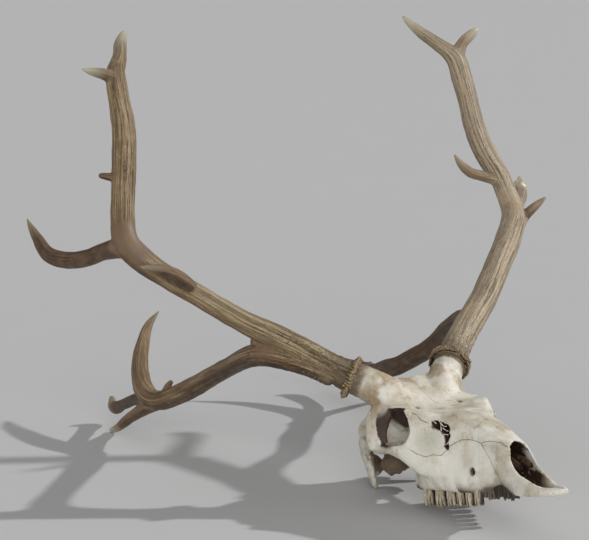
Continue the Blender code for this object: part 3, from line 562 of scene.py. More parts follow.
def roughened(points, scale, octaves=3, seed=0.0):
    """Fractal noise about 0 at each place, with features of the given size in centimetres."""
    shift = Vector((seed, seed * 1.7, -seed))
    return np.array([noise.fractal(Vector(p) / (scale * CM) + shift, 0.9, 2.1, octaves) for p in points])


def hump(distance, width):
    """1 at no distance, falling smoothly to 0 about two widths away."""
    return np.exp(-(distance / width) ** 2)


def signed_distance(flat_points, line):
    """Distance of each flat point from a line of corners, with the side as its sign."""
    best = np.full(len(flat_points), np.inf)
    for start, end in zip(line, line[1:]):
        start, end = np.array(start), np.array(end)
        run = end - start
        along = limited(((flat_points - start) @ run) / (run @ run))
        gap = flat_points - (start + along[:, None] * run)
        side = np.sign(run[0] * gap[:, 1] - run[1] * gap[:, 0])
        length = lengths(gap)
        best = np.where(length < np.abs(best), np.where(side == 0, 1, side) * length, best)
    return best


# Seams between the bones: forward and up as seen from the side, forward and left from above
FAR_FROM_SEAM = 9.0
SIDE_SUTURES = [
    [(29.2, 8.5), (30.0, 7.4), (30.8, 6.2), (31.3, 5.0), (31.9, 4.0), (32.0, 3.1)],
    [(24.2, 8.2), (25.0, 8.6), (26.2, 9.1), (27.3, 9.1), (28.4, 8.8), (29.2, 8.5), (30.6, 8.7),
     (32.3, 8.5), (34.2, 7.5)],
    [(24.0, 7.9), (23.3, 7.2), (22.4, 7.4), (21.5, 7.2), (20.4, 7.6), (19.4, 8.3)],
    [(19.2, 13.6), (20.6, 12.3), (21.4, 11.8)],
]
TOP_SUTURES = [
    [(22.5, 0.0), (23.8, 0.05), (25.6, -0.05), (28.0, 0.06), (30.5, -0.04), (33.6, 0.0)],
    [(8.6, 0.0), (11.0, 0.1), (13.5, -0.1), (16.5, 0.12), (19.5, -0.08), (22.5, 0.0)],
    [(24.2, 2.9), (23.2, 2.4), (22.6, 1.8), (22.9, 1.1), (22.4, 0.6), (22.6, 0.0), (22.3, -0.7),
     (22.8, -1.2), (22.5, -1.9), (23.3, -2.5), (24.2, -2.9)],
    [(7.4, 4.2), (7.8, 2.6), (7.2, 1.4), (7.6, 0.0), (7.2, -1.3), (7.8, -2.6), (7.4, -4.2)],
    [(17.4, -5.7), (18.0, -5.2), (18.7, -5.5), (19.4, -5.0), (20.2, -5.2)],
    [(14.4, 2.9), (15.4, 3.3), (16.1, 3.2), (16.7, 3.6)],
    [(13.1, -2.7), (13.5, -2.1)],
]


def openness(mesh, reach, rays):
    """How open the sky is over each point, from 0 in a hole to 1 on a bare crest."""
    tree = BVHTree.FromPolygons([v.co[:] for v in mesh.vertices], [p.vertices[:] for p in mesh.polygons])
    golden_angle = math.pi * (3 - math.sqrt(5))
    fan = []
    for k in range(rays):
        height = 1 - (k + 0.5) / rays
        spread = math.sqrt(1 - height * height)
        turn = golden_angle * k
        fan.append(Vector((spread * math.cos(turn), spread * math.sin(turn), height)))
    clear = np.zeros(len(mesh.vertices))
    for k, vertex in enumerate(mesh.vertices):
        turn = vertex.normal.to_track_quat("Z", "Y")
        start = vertex.co + vertex.normal * (0.04 * CM)
        clear[k] = sum(tree.ray_cast(start, turn @ ray, reach * CM)[0] is None for ray in fan) / rays
    return clear


skull = grow_skull()
points = mesh_points(skull.data)
animal = animal_frame(points)
forward, left, up = animal.T
side_view, top_view = animal[:, [0, 2]], animal[:, [0, 1]]
facing = mesh_normals(skull.data)
turned = animal_frame(points + facing) - animal
turned /= lengths(turned)[:, None]
from_side = np.abs(facing[:, 0]) > 0.35

# Side seams show where the bone faces sideways, top ones where it faces up
seams = [(side_view, line, from_side & (np.abs(left) > 0.9), 1.0) for line in SIDE_SUTURES]
seams += [(top_view, line, facing[:, 2] > 0.25, 2.2) for line in TOP_SUTURES]
suture = np.full(len(points), FAR_FROM_SEAM)
for view, line, seen, stretch in seams:
    value = np.where(seen, stretch * signed_distance(view, line), FAR_FROM_SEAM)
    suture = np.where(np.abs(value) < np.abs(suture), value, suture)

# What stands proud or lies hollow: pedicles, tooth roots, the tear pit, the groove on the brow
burr_gap = np.minimum(*[lengths(points - np.array(burr_frame(side).translation)) / CM
                        for side in (-1, 1)])
pedicle = limited((6.5 - burr_gap) / 4.0)
row_place = (ROW_FRONT[0] - forward) / 1.9
roots = np.abs(np.sin(math.pi * row_place)) * hump(up - 3.4, 1.2) * from_side
roots = roots * (forward < 28.9) * (forward > ROW_BACK[0])
tear_pit = hump(forward - 21.4, 1.5) * hump(up - 9.6, 1.9) * from_side
brow_groove = hump(np.abs(left) - 3.6, 0.5) * hump(forward - 18.9, 2.2) * (facing[:, 2] > 0.4)
# Below the cheek arch, on faces turned down: roughened, and given painted shade
below_arch = (limited((7.6 - up) / 1.4) * (forward > 5.2) * (forward < 17.5)
              * limited(0.75 - turned[:, 2] * 0.6))

relief = (0.05 * roughened(points, 2.6, 3, 3.0) + 0.022 * roughened(points, 0.6, 3, 9.0)
          + 0.10 * pedicle * roughened(points, 0.45, 2, 5.0)
          + 0.10 * (roots - 0.4 * (roots > 0)) - 0.35 * tear_pit - 0.12 * brow_groove
          + 0.30 * below_arch * roughened(points, 1.1, 3, 2.0) - 0.05 * hump(suture, 0.10))
skull_sky = openness(skull.data, 3.2, 14)
move_points(skull.data, points + facing * (relief * CM)[:, None])

# Painted shade inside the nose, the gaps, the eye sockets and the small holes, and under the palate
inner = limited(-facing[:, 0] * np.sign(left) * 3 + 0.6)
in_nose = ((np.abs(left) < 2.05) & (forward > 26.5) & (forward < 40.5) & (up > 2.0)) * inner
in_nose = in_nose * limited((0.92 - skull_sky) / 0.2) * limited((38.2 - forward) / 2.2)
in_gap = (((np.abs(left) < 5.3) & (forward > 21.3) & (forward < 24.9) & (up > 6.8))
          * limited((0.72 - skull_sky) / 0.2))
from_eye = np.stack([forward - EYE_MIDDLE[0], up - EYE_MIDDLE[1]], axis=1)
eye_reach = lengths(from_eye) + 1e-6
eye_wall = -(from_eye * turned[:, [0, 2]]).sum(axis=1) / eye_reach
eye_roof = (0.65 * from_eye[:, 1] - 0.75 * from_eye[:, 0]) / eye_reach
in_eye = (limited(eye_wall * 3.0 - 0.2) * limited((eye_roof + 0.55) / 0.4)
          * (eye_reach < 4.3) * (np.abs(left) > 2.5))
face_hole = hump(np.hypot(forward - NERVE_HOLE[0], up - NERVE_HOLE[1]), 0.42) * (np.abs(left) > 2.5)
brow_hole = hump(np.hypot(forward - BROW_HOLE[0], np.abs(left) - BROW_HOLE[1]), 0.34) * (turned[:, 2] > 0)
palate = (limited(-turned[:, 2] * 2.0 + 0.2) * (forward > 25.0) * (forward < 34.5)
          * limited((3.4 - up) / 1.0))
# Darker low down at the back of the head; stains: orange on the brow and pedicles, green in the pits
skull_foot = limited((11.5 - forward) / 3.0) * limited((8.6 - up) / 2.0)
orange = limited(hump(burr_gap - 5.2, 2.2) + 0.35 * hump(up - 13.0, 1.6) * (forward > 12))
orange = orange + 0.5 * hump(forward - 11.0, 1.6) * hump(left, 4.5) * (turned[:, 2] > 0.3)
orange = limited(orange * (0.75 + 1.6 * roughened(points, 2.2, 3, 1.0)))
green = limited(tear_pit * 1.1 + hump(burr_gap - 3.4, 0.9) * 0.8)
painted_hollow_shade = limited(in_nose + in_gap + 0.97 * in_eye + face_hole + brow_hole + 0.85 * palate)
# Darker just under each burr
under_burr = hump(burr_gap - 2.5, 0.7) * (0.8 + 0.2 * (left > 0))
# Painted shade where little sky is open over the bone and under the cheek arch, with the darkening low at
# the back and under the burrs
painted_shade_and_soil = limited(1 - skull_sky + 0.45 * skull_foot + 0.7 * below_arch + 0.9 * under_burr)
mark(skull.data, "bone_marks", "FLOAT_COLOR", np.stack([painted_shade_and_soil, orange, painted_hollow_shade, green], axis=1))
mark(skull.data, "suture", "FLOAT", suture)

BONE_WHITE = (0.80, 0.77, 0.685)
BONE_WARM = (0.62, 0.565, 0.45)
SHADE_AND_CRACK_BROWN = (0.17, 0.12, 0.075)
BONE_ORANGE = (0.32, 0.21, 0.095)
BONE_GREEN = (0.47, 0.46, 0.35)
BONE_BLOTCH = (0.33, 0.265, 0.18)
SEAM_BROWN = (0.10, 0.07, 0.045)
HOLLOW_SHADE_BROWN = (0.045, 0.022, 0.014)


def bone_finish():
    """Dry bleached bone: cream white with warm clouds, stained pedicles, dark seams, and painted shade in
    the hollows and holes.
    """
    bone = Finish("bleached_bone")
    place = bone.place()
    hollow, stained, nose, greenish = bone.channels("bone_marks")
    seam = Field(bone, bone.attribute("suture").outputs["Fac"])
    clouds = bone.noise(place, 22.0, 4.0)
    grime = bone.noise(place, 75.0, 5.0, 0.65)
    pores = bone.noise(place, 420.0, 4.0, 0.7)
    wander = bone.noise(place, 160.0, 3.0)
    line = abs(seam + (wander - 0.5) * 0.16).ramp(0.055, 0.015)
    painted_shade_and_grime = (hollow * 1.25 + (grime - 0.5) * 0.9).ramp(0.42, 0.95)
    blotch = (grime + (clouds - 0.5) * 0.5).ramp(0.54, 0.72)
    cracks = abs(bone.noise(place, 55.0, 6.0, 0.7) - 0.5).ramp(0.006, 0.001)
    specks = pores.ramp(0.58, 0.70) * (0.45 + stained * 0.6 + greenish * 0.5)
    # The hollow and nose channels lay painted shade; grime noise breaks up the shade in the hollows
    colour = bone.layers(
        BONE_WHITE, (clouds.ramp(0.42, 0.68), BONE_WARM), (greenish * 0.75, BONE_GREEN),
        (stained * (0.35 + grime * 0.8), BONE_ORANGE), (painted_shade_and_grime, SHADE_AND_CRACK_BROWN), (blotch * 0.55, BONE_BLOTCH),
        (cracks * (0.15 + hollow * 0.5), SHADE_AND_CRACK_BROWN), (specks * 0.8, SHADE_AND_CRACK_BROWN),
        (line * 0.8, SEAM_BROWN), (nose, HOLLOW_SHADE_BROWN))
    height = clouds * 0.3 + grime * 0.35 + pores * 0.25 - line * 0.5
    return bone.finish(colour, grime.ramp(0.2, 0.9) * 0.2 + 0.5, height, 0.0009, Specular_IOR_Level=0.35)


def coated(thing, material):
    """Give a piece its one material and smooth shading."""
    thing.data.materials.clear()
    thing.data.materials.append(material)
    thing.data.shade_smooth()


coated(skull, bone_finish())
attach(skull, "root")
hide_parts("skull")


# Antlers: each is one piece of living bone grown from its burr in a season, hollowed with long
# grooves where its blood vessels ran, rough and dark low down, rubbed pale and smooth at the tips.

ANTLER_SKIN = 0.175
ROUND_ALLOWANCE = 1.045
BURR_HEIGHT = 1.0
BURR_FOOT_RADIUS = 3.05
BURR_TOP_RADIUS = 2.35
BURR_SEAT_GAP = 0.03
SIDES = {"R": -1, "L": 1}
TRACE_STEP = 0.35
ROUTES = {
    "R": {
        "beam": [
            (9.2, 7.8, 18.2, 2.35), (8.2, 9.2, 19.4, 2.2), (6.8, 11.1, 21.0, 1.9), (4.5, 14.4, 23.9, 1.8),
            (2.5, 17.2, 26.2, 1.75), (0.4, 21.0, 29.0, 1.55), (-1.5, 26.3, 33.2, 1.5),
            (-3.2, 30.7, 36.8, 1.55), (-4.5, 34.0, 40.0, 1.8), (-5.3, 35.3, 42.6, 1.75),
            (-6.2, 34.8, 46.0, 1.68), (-7.5, 33.3, 51.7, 1.68), (-8.4, 32.3, 55.5, 1.74),
            (-9.3, 31.5, 59.3, 1.68), (-10.5, 31.1, 63.2, 1.55), (-11.8, 30.6, 66.8, 1.5),
            (-12.9, 30.0, 68.3, 1.35), (-13.7, 29.1, 69.6, 1.15), (-14.6, 28.2, 71.0, 1.02),
            (-15.9, 27.2, 73.0, 0.95), (-16.7, 26.2, 74.7, 0.55), (-16.9, 25.8, 75.3, 0.2)],
        "top_point": [
            (-11.8, 31.0, 67.1, 1.0), (-11.4, 32.6, 67.7, 0.82), (-11.3, 33.6, 67.9, 0.7),
            (-11.2, 35.0, 68.2, 0.5), (-11.1, 36.2, 68.5, 0.18)],
        "nub": [
            (-7.5, 33.5, 51.6, 0.9), (-8.0, 34.6, 51.9, 0.62), (-8.5, 35.6, 52.2, 0.5),
            (-8.8, 36.3, 52.4, 0.4)],
        "rear": [
            (7.2, 10.8, 19.6, 1.6), (4.6, 14.0, 21.9, 1.7), (1.0, 17.6, 23.8, 1.8),
            (-3.0, 18.7, 23.7, 1.55), (-9.5, 18.5, 22.6, 1.38), (-16.5, 18.3, 21.2, 1.45),
            (-22.0, 19.0, 19.8, 1.55), (-26.5, 19.8, 18.8, 1.5), (-30.0, 20.4, 18.3, 1.5),
            (-33.0, 21.0, 18.9, 1.5), (-36.3, 20.6, 21.1, 1.5), (-40.8, 18.4, 24.6, 1.35),
            (-45.2, 15.2, 28.1, 1.05), (-48.5, 12.3, 30.8, 0.7), (-50.9, 8.9, 33.0, 0.15)],
        "rear_blunt": [
            (-33.5, 21.1, 18.4, 1.2), (-38.2, 21.0, 18.8, 0.95), (-44.2, 20.6, 18.1, 0.88),
            (-48.0, 20.3, 17.6, 1.05), (-49.3, 20.3, 18.0, 0.85), (-49.0, 20.5, 19.2, 0.5)],
        "rear_foot": [
            (-31.5, 20.8, 18.0, 1.25), (-35.0, 21.3, 17.2, 1.05), (-38.6, 22.2, 16.0, 0.88),
            (-42.0, 22.9, 14.6, 0.7), (-44.4, 23.3, 14.06, 0.42)],
        "rear_nub": [
            (-29.5, 20.2, 19.0, 0.8), (-28.6, 19.8, 20.4, 0.55), (-28.0, 19.5, 21.0, 0.4)],
        "outer": [
            (-5.3, 35.3, 41.6, 1.6), (-8.2, 37.5, 41.3, 1.22), (-11.1, 39.4, 40.7, 1.2),
            (-14.0, 41.2, 41.0, 1.2), (-16.3, 42.7, 42.2, 1.08), (-17.6, 43.5, 44.6, 0.78),
            (-18.4, 44.0, 46.5, 0.46), (-18.7, 44.4, 47.9, 0.12)],
        "front": [
            (-2.2, 26.6, 33.4, 1.1), (-0.9, 28.6, 35.3, 1.0), (0.0, 31.2, 36.8, 0.9),
            (0.9, 34.1, 37.6, 0.7), (1.6, 36.7, 38.0, 0.2)],
    },
    "L": {
        "beam": [
            (9.2, 7.8, 18.2, 2.35), (8.2, 9.2, 19.4, 2.2), (7.0, 11.7, 21.6, 2.05), (5.4, 15.7, 24.8, 2.0),
            (3.7, 20.1, 28.1, 1.98), (1.5, 24.8, 32.3, 2.0), (-0.5, 28.8, 35.9, 2.02),
            (-2.7, 32.7, 39.8, 1.95), (-4.6, 34.4, 42.2, 1.75), (-5.8, 34.7, 44.8, 1.65),
            (-6.7, 34.2, 48.2, 1.65), (-8.3, 33.1, 52.6, 1.75), (-9.4, 32.6, 56.9, 1.7),
            (-10.1, 32.5, 61.1, 1.6), (-10.9, 32.4, 65.3, 1.65), (-11.5, 32.1, 68.4, 1.55),
            (-12.4, 31.2, 70.2, 1.25), (-13.1, 30.5, 71.1, 1.15), (-14.0, 29.5, 72.4, 1.0),
            (-15.1, 28.3, 73.9, 0.88), (-16.3, 26.9, 76.0, 0.6), (-16.8, 26.2, 77.1, 0.2)],
        "top_point": [
            (-11.6, 32.6, 69.4, 1.2), (-11.2, 33.6, 71.1, 0.95), (-10.7, 35.1, 72.4, 0.82),
            (-10.3, 35.8, 73.0, 0.6), (-10.0, 36.2, 73.4, 0.2)],
        "nub": [
            (-8.4, 33.4, 52.8, 1.2), (-8.4, 34.4, 53.0, 0.95), (-8.5, 35.0, 53.2, 0.5)],
        "rear": [
            (7.2, 11.0, 19.8, 1.6), (4.8, 14.4, 22.4, 1.75), (1.2, 17.9, 25.0, 1.8),
            (-4.5, 18.5, 23.8, 1.58), (-9.1, 18.6, 21.7, 1.47), (-14.0, 17.6, 20.0, 1.47),
            (-17.2, 16.7, 19.0, 1.47), (-21.0, 17.0, 18.6, 1.5), (-25.0, 18.2, 18.2, 1.5),
            (-29.0, 19.4, 18.0, 1.5), (-32.5, 20.9, 18.3, 1.5), (-37.0, 20.3, 19.2, 1.4),
            (-41.0, 19.0, 20.3, 1.25), (-45.0, 17.5, 21.7, 1.05), (-48.5, 15.0, 23.2, 0.75),
            (-52.0, 11.4, 25.1, 0.15)],
        "rear_blunt": [
            (-33.0, 21.0, 18.2, 1.2), (-38.0, 21.6, 17.4, 0.95), (-43.0, 21.6, 17.6, 0.88),
            (-47.5, 21.8, 18.6, 1.05), (-49.0, 21.8, 19.3, 0.85), (-49.3, 21.9, 20.4, 0.5)],
        "rear_foot": [
            (-31.5, 20.4, 17.9, 1.25), (-33.2, 22.0, 17.2, 1.05), (-35.2, 23.8, 16.0, 0.9),
            (-37.6, 26.0, 14.5, 0.72), (-39.6, 28.1, 12.9, 0.42)],
        "rear_nub": [
            (-29.5, 19.4, 18.6, 0.8), (-29.0, 19.0, 19.4, 0.55), (-28.7, 18.9, 19.7, 0.4)],
        "outer": [
            (-4.6, 34.8, 42.2, 1.5), (-8.4, 38.6, 43.6, 1.25), (-11.4, 41.6, 44.5, 1.15),
            (-14.0, 43.9, 45.4, 1.25), (-15.6, 45.4, 46.4, 1.15), (-16.4, 46.1, 47.4, 0.85),
            (-16.8, 46.4, 48.3, 0.35)],
        "front": [
            (-3.0, 34.2, 39.4, 1.0), (-3.7, 36.0, 40.7, 0.85), (-2.8, 36.9, 41.7, 0.75),
            (-1.9, 37.9, 42.6, 0.55), (-1.1, 38.8, 43.4, 0.2)],
        "inner": [
            (-6.6, 33.4, 47.6, 1.1), (-6.9, 31.2, 48.2, 0.85), (-6.7, 28.6, 48.9, 0.8),
            (-5.8, 26.2, 50.2, 0.62), (-5.1, 24.6, 51.8, 0.18)],
    },
}
# How dark earth and bark have stained each branch, from 0 for the tan beam to 1
BRANCH_DARKNESS = {
    "R": {"rear": 0.62, "rear_blunt": 0.95, "rear_foot": 0.7, "rear_nub": 0.6, "outer": 1.0,
          "front": 0.7, "top_point": 0.3, "nub": 0.7},
    "L": {"rear": 0.95, "rear_blunt": 1.0, "rear_foot": 1.0, "rear_nub": 1.0, "outer": 0.3, "front": 0.95,
          "inner": 0.5, "top_point": 0.4, "nub": 0.6},
}
# How dark the underside is made, as painted shade and earth stain, and how far weather has greyed the whole
# antler
UNDERSIDE_SHADE_AND_STAIN = {"R": 0.85, "L": 0.3}
GREYED = {"R": 0.15, "L": 0.85}
# Balls that fill the crotch of the back branch: a place and a radius
WEBS = {"R": [((1.4, 17.9, 25.2), 1.3), ((0.3, 18.8, 25.7), 1.15)],
        "L": [((2.2, 17.2, 25.6), 1.2)]}
# How far round the outer and the back fork the antler is worn smooth
OUTER_FORK = 4.6
BACK_FORK = 3.0
# Nodes of the frame that one grown antler stands for
ANTLER_NODES = ["beam_lower", "beam_upper", "rear_tine", "rear_tall_tine", "rear_blunt_tine",
                "rear_foot_tine", "outer_tine", "front_tine", "top_tine", "top_point"]


def trace(rows, side):
    """A branch followed finely: middles, directions, a steady sideways pair, radii and lengths."""
    fine = np.array(curve_through(on_side(side, rows), TRACE_STEP))
    middles = np.array([spot(*row[:3]) for row in fine])
    ahead = np.gradient(middles, axis=0)
    ahead /= lengths(ahead)[:, None]
    first = np.cross(ahead[0], (0.31, 0.52, 0.79))
    first /= np.linalg.norm(first)
    sideways = [first]
    for direction in ahead[1:]:
        turned = sideways[-1] - direction * (sideways[-1] @ direction)
        sideways.append(turned / np.linalg.norm(turned))
    sideways = np.array(sideways)
    gone = np.concatenate([[0], np.cumsum(lengths(np.diff(middles, axis=0)))]) / CM
    return {"middles": middles, "ahead": ahead, "sideways": sideways, "radii": fine[:, 3] * CM,
            "upwards": np.cross(ahead, sideways), "gone": gone, "left_over": gone[-1] - gone}


def horn(branch, corners=28):
    """A branch as one closed tube, its tip rounded off."""
    turns = np.arange(corners) * math.tau / corners
    reaches = branch["radii"] * ROUND_ALLOWANCE
    rings = []
    for middle, sideways, upwards, reach in zip(branch["middles"], branch["sideways"],
                                                branch["upwards"], reaches):
        rings.append([Vector(middle + sideways * (reach * math.cos(t)) + upwards * (reach * math.sin(t)))
                      for t in turns])
    end, last_ring = Vector(branch["middles"][-1]), rings[-1]
    for along, scale in ((0.45, 0.85), (0.8, 0.5)):
        middle = Vector(branch["middles"][-1] + branch["ahead"][-1] * reaches[-1] * along)
        rings.append([middle + (point - end) * scale for point in last_ring])
    return loft(rings, "horn")


def follow(points, branches):
    """Each point's nearest branch: length gone along it, place round it, radius, how many radii out,
    length left to its tip, and its number."""
    line = {key: np.concatenate([branch[key] for branch in branches]) for key in branches[0]}
    number = np.concatenate([np.full(len(b["gone"]), k) for k, b in enumerate(branches)])
    out = []
    for chunk in np.array_split(points, max(1, len(points) // 4000)):
        gaps = np.linalg.norm(chunk[:, None, :] - line["middles"][None], axis=2) - line["radii"][None]
        near = gaps.argmin(axis=1)
        here = {key: values[near] for key, values in line.items()}
        offset = chunk - here["middles"]
        slide, across, upward = [(offset * here[way]).sum(axis=1)
                                 for way in ("ahead", "sideways", "upwards")]
        away = np.hypot(across, upward)
        out.append(np.stack([here["gone"] + slide / CM, across / away, upward / away,
                             here["radii"] / CM, away / here["radii"],
                             here["left_over"] - slide / CM, number[near]], axis=1))
    return np.concatenate(out)


ANTLER_TAN = (0.30, 0.205, 0.097)
ANTLER_PALE = (0.62, 0.495, 0.295)
ANTLER_OLIVE = (0.25, 0.195, 0.085)
ANTLER_DARK = (0.035, 0.022, 0.013)
ANTLER_GREY = (0.51, 0.415, 0.315)
ANTLER_RED = (0.235, 0.112, 0.047)
ANTLER_IVORY = (0.50, 0.475, 0.34)
FORK_BROWN = (0.088, 0.062, 0.046)


def antler_finish():
    """Weathered antler: tan ridges, dark vessel grooves, smooth forks, stains, painted shade on the
    undersides, ivory tips.
    """
    coat = Finish("weathered_antler")
    place = coat.place()
    smooth, dark, tip, burr_side = coat.channels("antler_marks")
    greyed = Field(coat, coat.attribute("greyed").outputs["Fac"])
    grain = coat.attribute("grain").outputs["Vector"]
    grooves = coat.noise(coat.stretched(grain, (1.0, 1.0, 0.016)), 4.2, 6.0, 0.78)
    fibres = coat.noise(coat.stretched(grain, (1.0, 1.0, 0.07)), 14.0, 4.0, 0.7)
    clouds = coat.noise(place, 22.0, 4.0)
    mottle = coat.noise(place, 95.0, 4.0, 0.65)
    pits = coat.noise(coat.stretched(grain, (1.0, 1.0, 0.4)), 8.0, 4.0, 0.72)
    rough = 1.0 - smooth
    lines = abs(grooves - 0.46).ramp(0.024, 0.006)
    streaks = grooves.ramp(0.38, 0.68) * (0.55 + clouds.ramp(0.35, 0.6) * 0.45)
    colour = coat.layers(
        ANTLER_TAN, (streaks, ANTLER_PALE),
        (clouds.ramp(0.42, 0.60) * (1.0 - greyed) * 0.75, ANTLER_OLIVE),
        (greyed * (0.35 + mottle.ramp(0.4, 0.65) * 0.5), ANTLER_GREY),
        (smooth * (0.95 - greyed * 0.95), FORK_BROWN),
        (dark * (0.5 + clouds.ramp(0.35, 0.62) * 0.35), ANTLER_RED),
        (dark.ramp(0.68, 1.05) * (0.45 + mottle.ramp(0.35, 0.6) * 0.3), ANTLER_DARK),
        (lines * (rough - greyed * 0.35) * 0.85, ANTLER_DARK),
        (fibres.ramp(0.45, 0.32) * (0.12 + rough * 0.42), ANTLER_DARK),
        (mottle.ramp(0.56, 0.72) * 0.25, ANTLER_DARK),
        (pits.ramp(0.53, 0.66) * (0.25 + rough * 0.35), ANTLER_DARK),
        (burr_side * (grooves.ramp(0.4, 0.6) * 0.5 + 0.2), ANTLER_DARK),
        (tip * 0.85, ANTLER_IVORY))
    height = (grooves * 0.5 - lines * 0.25 + fibres * 0.35) * rough + pits * 0.15 + mottle * 0.25
    roughness = 0.42 - tip * 0.12 - smooth * 0.06 + mottle * 0.14
    return coat.finish(colour, roughness, height, 0.0022, Specular_IOR_Level=0.5)


def antler_form(side_name, side, branches):
    """An antler's skin over branches, webs and burr, cut flat where it meets the bone and the floor."""
    ring = bmesh.new()
    bmesh.ops.create_cone(ring, cap_ends=True, segments=48, depth=BURR_HEIGHT * CM,
                          radius1=BURR_FOOT_RADIUS * CM, radius2=BURR_TOP_RADIUS * CM)
    bmesh.ops.transform(ring, verts=ring.verts, matrix=burr_frame(side))
    forms = [horn(branch) for branch in branches]
    forms += [ball((x, y * side, z), (reach, reach, reach), 20) for (x, y, z), reach in WEBS[side_name]]
    forms.append(from_shape("ring", ring))
    foot = ROUTES[side_name]["rear_foot"][-1]
    return opened(grown(f"antler_{side_name}", forms, ANTLER_SKIN, 4),
                  [burr_knife(side, BURR_CUT + BURR_SEAT_GAP, -1), floor_knife(foot[0], foot[1] * side)])


def grow_antler(side_name, side):
    """One whole antler, grooved along its branches and marked where it is worn, stained or beaded."""
    routes = ROUTES[side_name]
    names = list(routes)
    branches = [trace(rows, side) for rows in routes.values()]
    antler = antler_form(side_name, side, branches)
    points = mesh_points(antler.data)
    gone, across, upward, radius, away, to_tip, number = follow(points, branches).T

    def on(*wanted):
        """Which points lie on the wanted branches."""
        return np.isin(number, [names.index(name) for name in wanted if name in names])

    def gap_to(place):
        """Each point's distance from a place, in centimetres."""
        return lengths(points - np.array(place)) / CM

    to_burr = gap_to(burr_frame(side).translation)
    fork = limited((away - 1.14) / 0.22)
    for row, reach in ((routes["outer"][0], OUTER_FORK), (WEBS[side_name][0][0], BACK_FORK)):
        to_fork = gap_to(spot(row[0], row[1] * side, row[2]))
        fork = np.maximum(fork, np.clip((reach - to_fork) / 1.4, 0, 0.85))
    trunk = on("beam", "rear")
    tip = limited(1.15 - to_tip / np.where(trunk, 4.8, 3.2))
    tip = np.where(on("nub", "rear_nub"), 0.0, tip)
    brown_tipped = on("front", "inner", "rear", "rear_blunt") | (on("outer") & (side_name == "R"))
    tip = np.where(brown_tipped, tip * 0.3, tip)
    chewed = on("outer") * (side_name == "L") * limited((6.0 - to_tip) / 3.0)
    tip = np.maximum(tip, 0.8 * chewed)
    smooth = limited(fork + tip * 1.2 + 0.35 * (~trunk))

    grain = np.stack([across * 1.6, upward * 1.6, gone + 40.0 * number], axis=1)
    ridges = np.array([noise.fractal(Vector((x * 2.6, y * 2.6, z * 0.05)), 0.9, 2.0, 3)
                       for x, y, z in grain])
    warts = np.array([max(0.0, noise.noise(Vector(p) / (0.55 * CM)) - 0.12) for p in points])
    near_burr = limited(1 - (to_burr - 3.0) / 13.0)
    relief = (0.075 * ridges * (1 - smooth) * np.clip(radius / 1.6, 0.3, 1.0)
              + 0.07 * roughened(points, 2.4, 2, side * 4.0) * limited(radius)
              + 0.20 * warts * near_burr * (1 - fork)
              + 0.34 * chewed * roughened(points, 0.8, 2, 7.0))
    move_points(antler.data, points + mesh_normals(antler.data) * (relief * CM)[:, None])

    facing = mesh_normals(antler.data)
    # Faces turned down get painted shade, with earth stain there
    under = limited(-facing[:, 2] * 1.2 + 0.05)
    stain = np.array([BRANCH_DARKNESS[side_name].get(name, 0.0) for name in names])[number.astype(int)]
    stain = stain * limited((gone - 0.8) / 1.4)
    stain += 0.5 * (side_name == "R") * on("beam") * limited((gone - 32) / 6)
    dark = limited(stain + under * UNDERSIDE_SHADE_AND_STAIN[side_name]) * (1 - tip)
    outer_face = np.clip((facing[:, 0] * side + 0.3) * 3.0, 0.05, 1)
    beaded = limited(near_burr * 1.3 - 0.25) * (1 - fork) * (to_burr > 3.2) * outer_face
    burr_side = limited(1 - (to_burr - 2.6) / 3.5)
    mark(antler.data, "beaded", "FLOAT", beaded)
    mark(antler.data, "greyed", "FLOAT", np.full(len(points), GREYED[side_name]))
    mark(antler.data, "antler_marks", "FLOAT_COLOR", np.stack([smooth, dark, tip, burr_side], axis=1))
    mark(antler.data, "grain", "FLOAT_VECTOR", grain)
    coated(antler, weathered)
    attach(antler, "root")
    nodes = ANTLER_NODES + (["inner_tine"] if side_name == "L" else [])
    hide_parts(*[f"{name}_{side_name}" for name in nodes])
    return antler


weathered = antler_finish()
antlers = {side_name: grow_antler(side_name, side) for side_name, side in SIDES.items()}


# Burrs and pearls: a ruff of bony beads round each antler's foot, and loose beads scattered over
# the lowest part of the beam, grown with the antler and worn pale on top.

# Colours of beads: low in the cracks between them, with painted shade, then worn pale on top
RUFF_COLOURS = (0.045, 0.026, 0.013), (0.30, 0.22, 0.125)
BROWN_PEARLS = (0.07, 0.045, 0.024), (0.24, 0.18, 0.10)
WORN_PEARLS = (0.14, 0.10, 0.06), (0.62, 0.57, 0.46)
# Three rings of beads: radius, height over the burr's middle, size of a bead, and their number
BURR_RINGS = [(2.84, 0.0, 0.34, 40), (2.58, 0.36, 0.255, 36), (2.79, -0.30, 0.238, 48)]


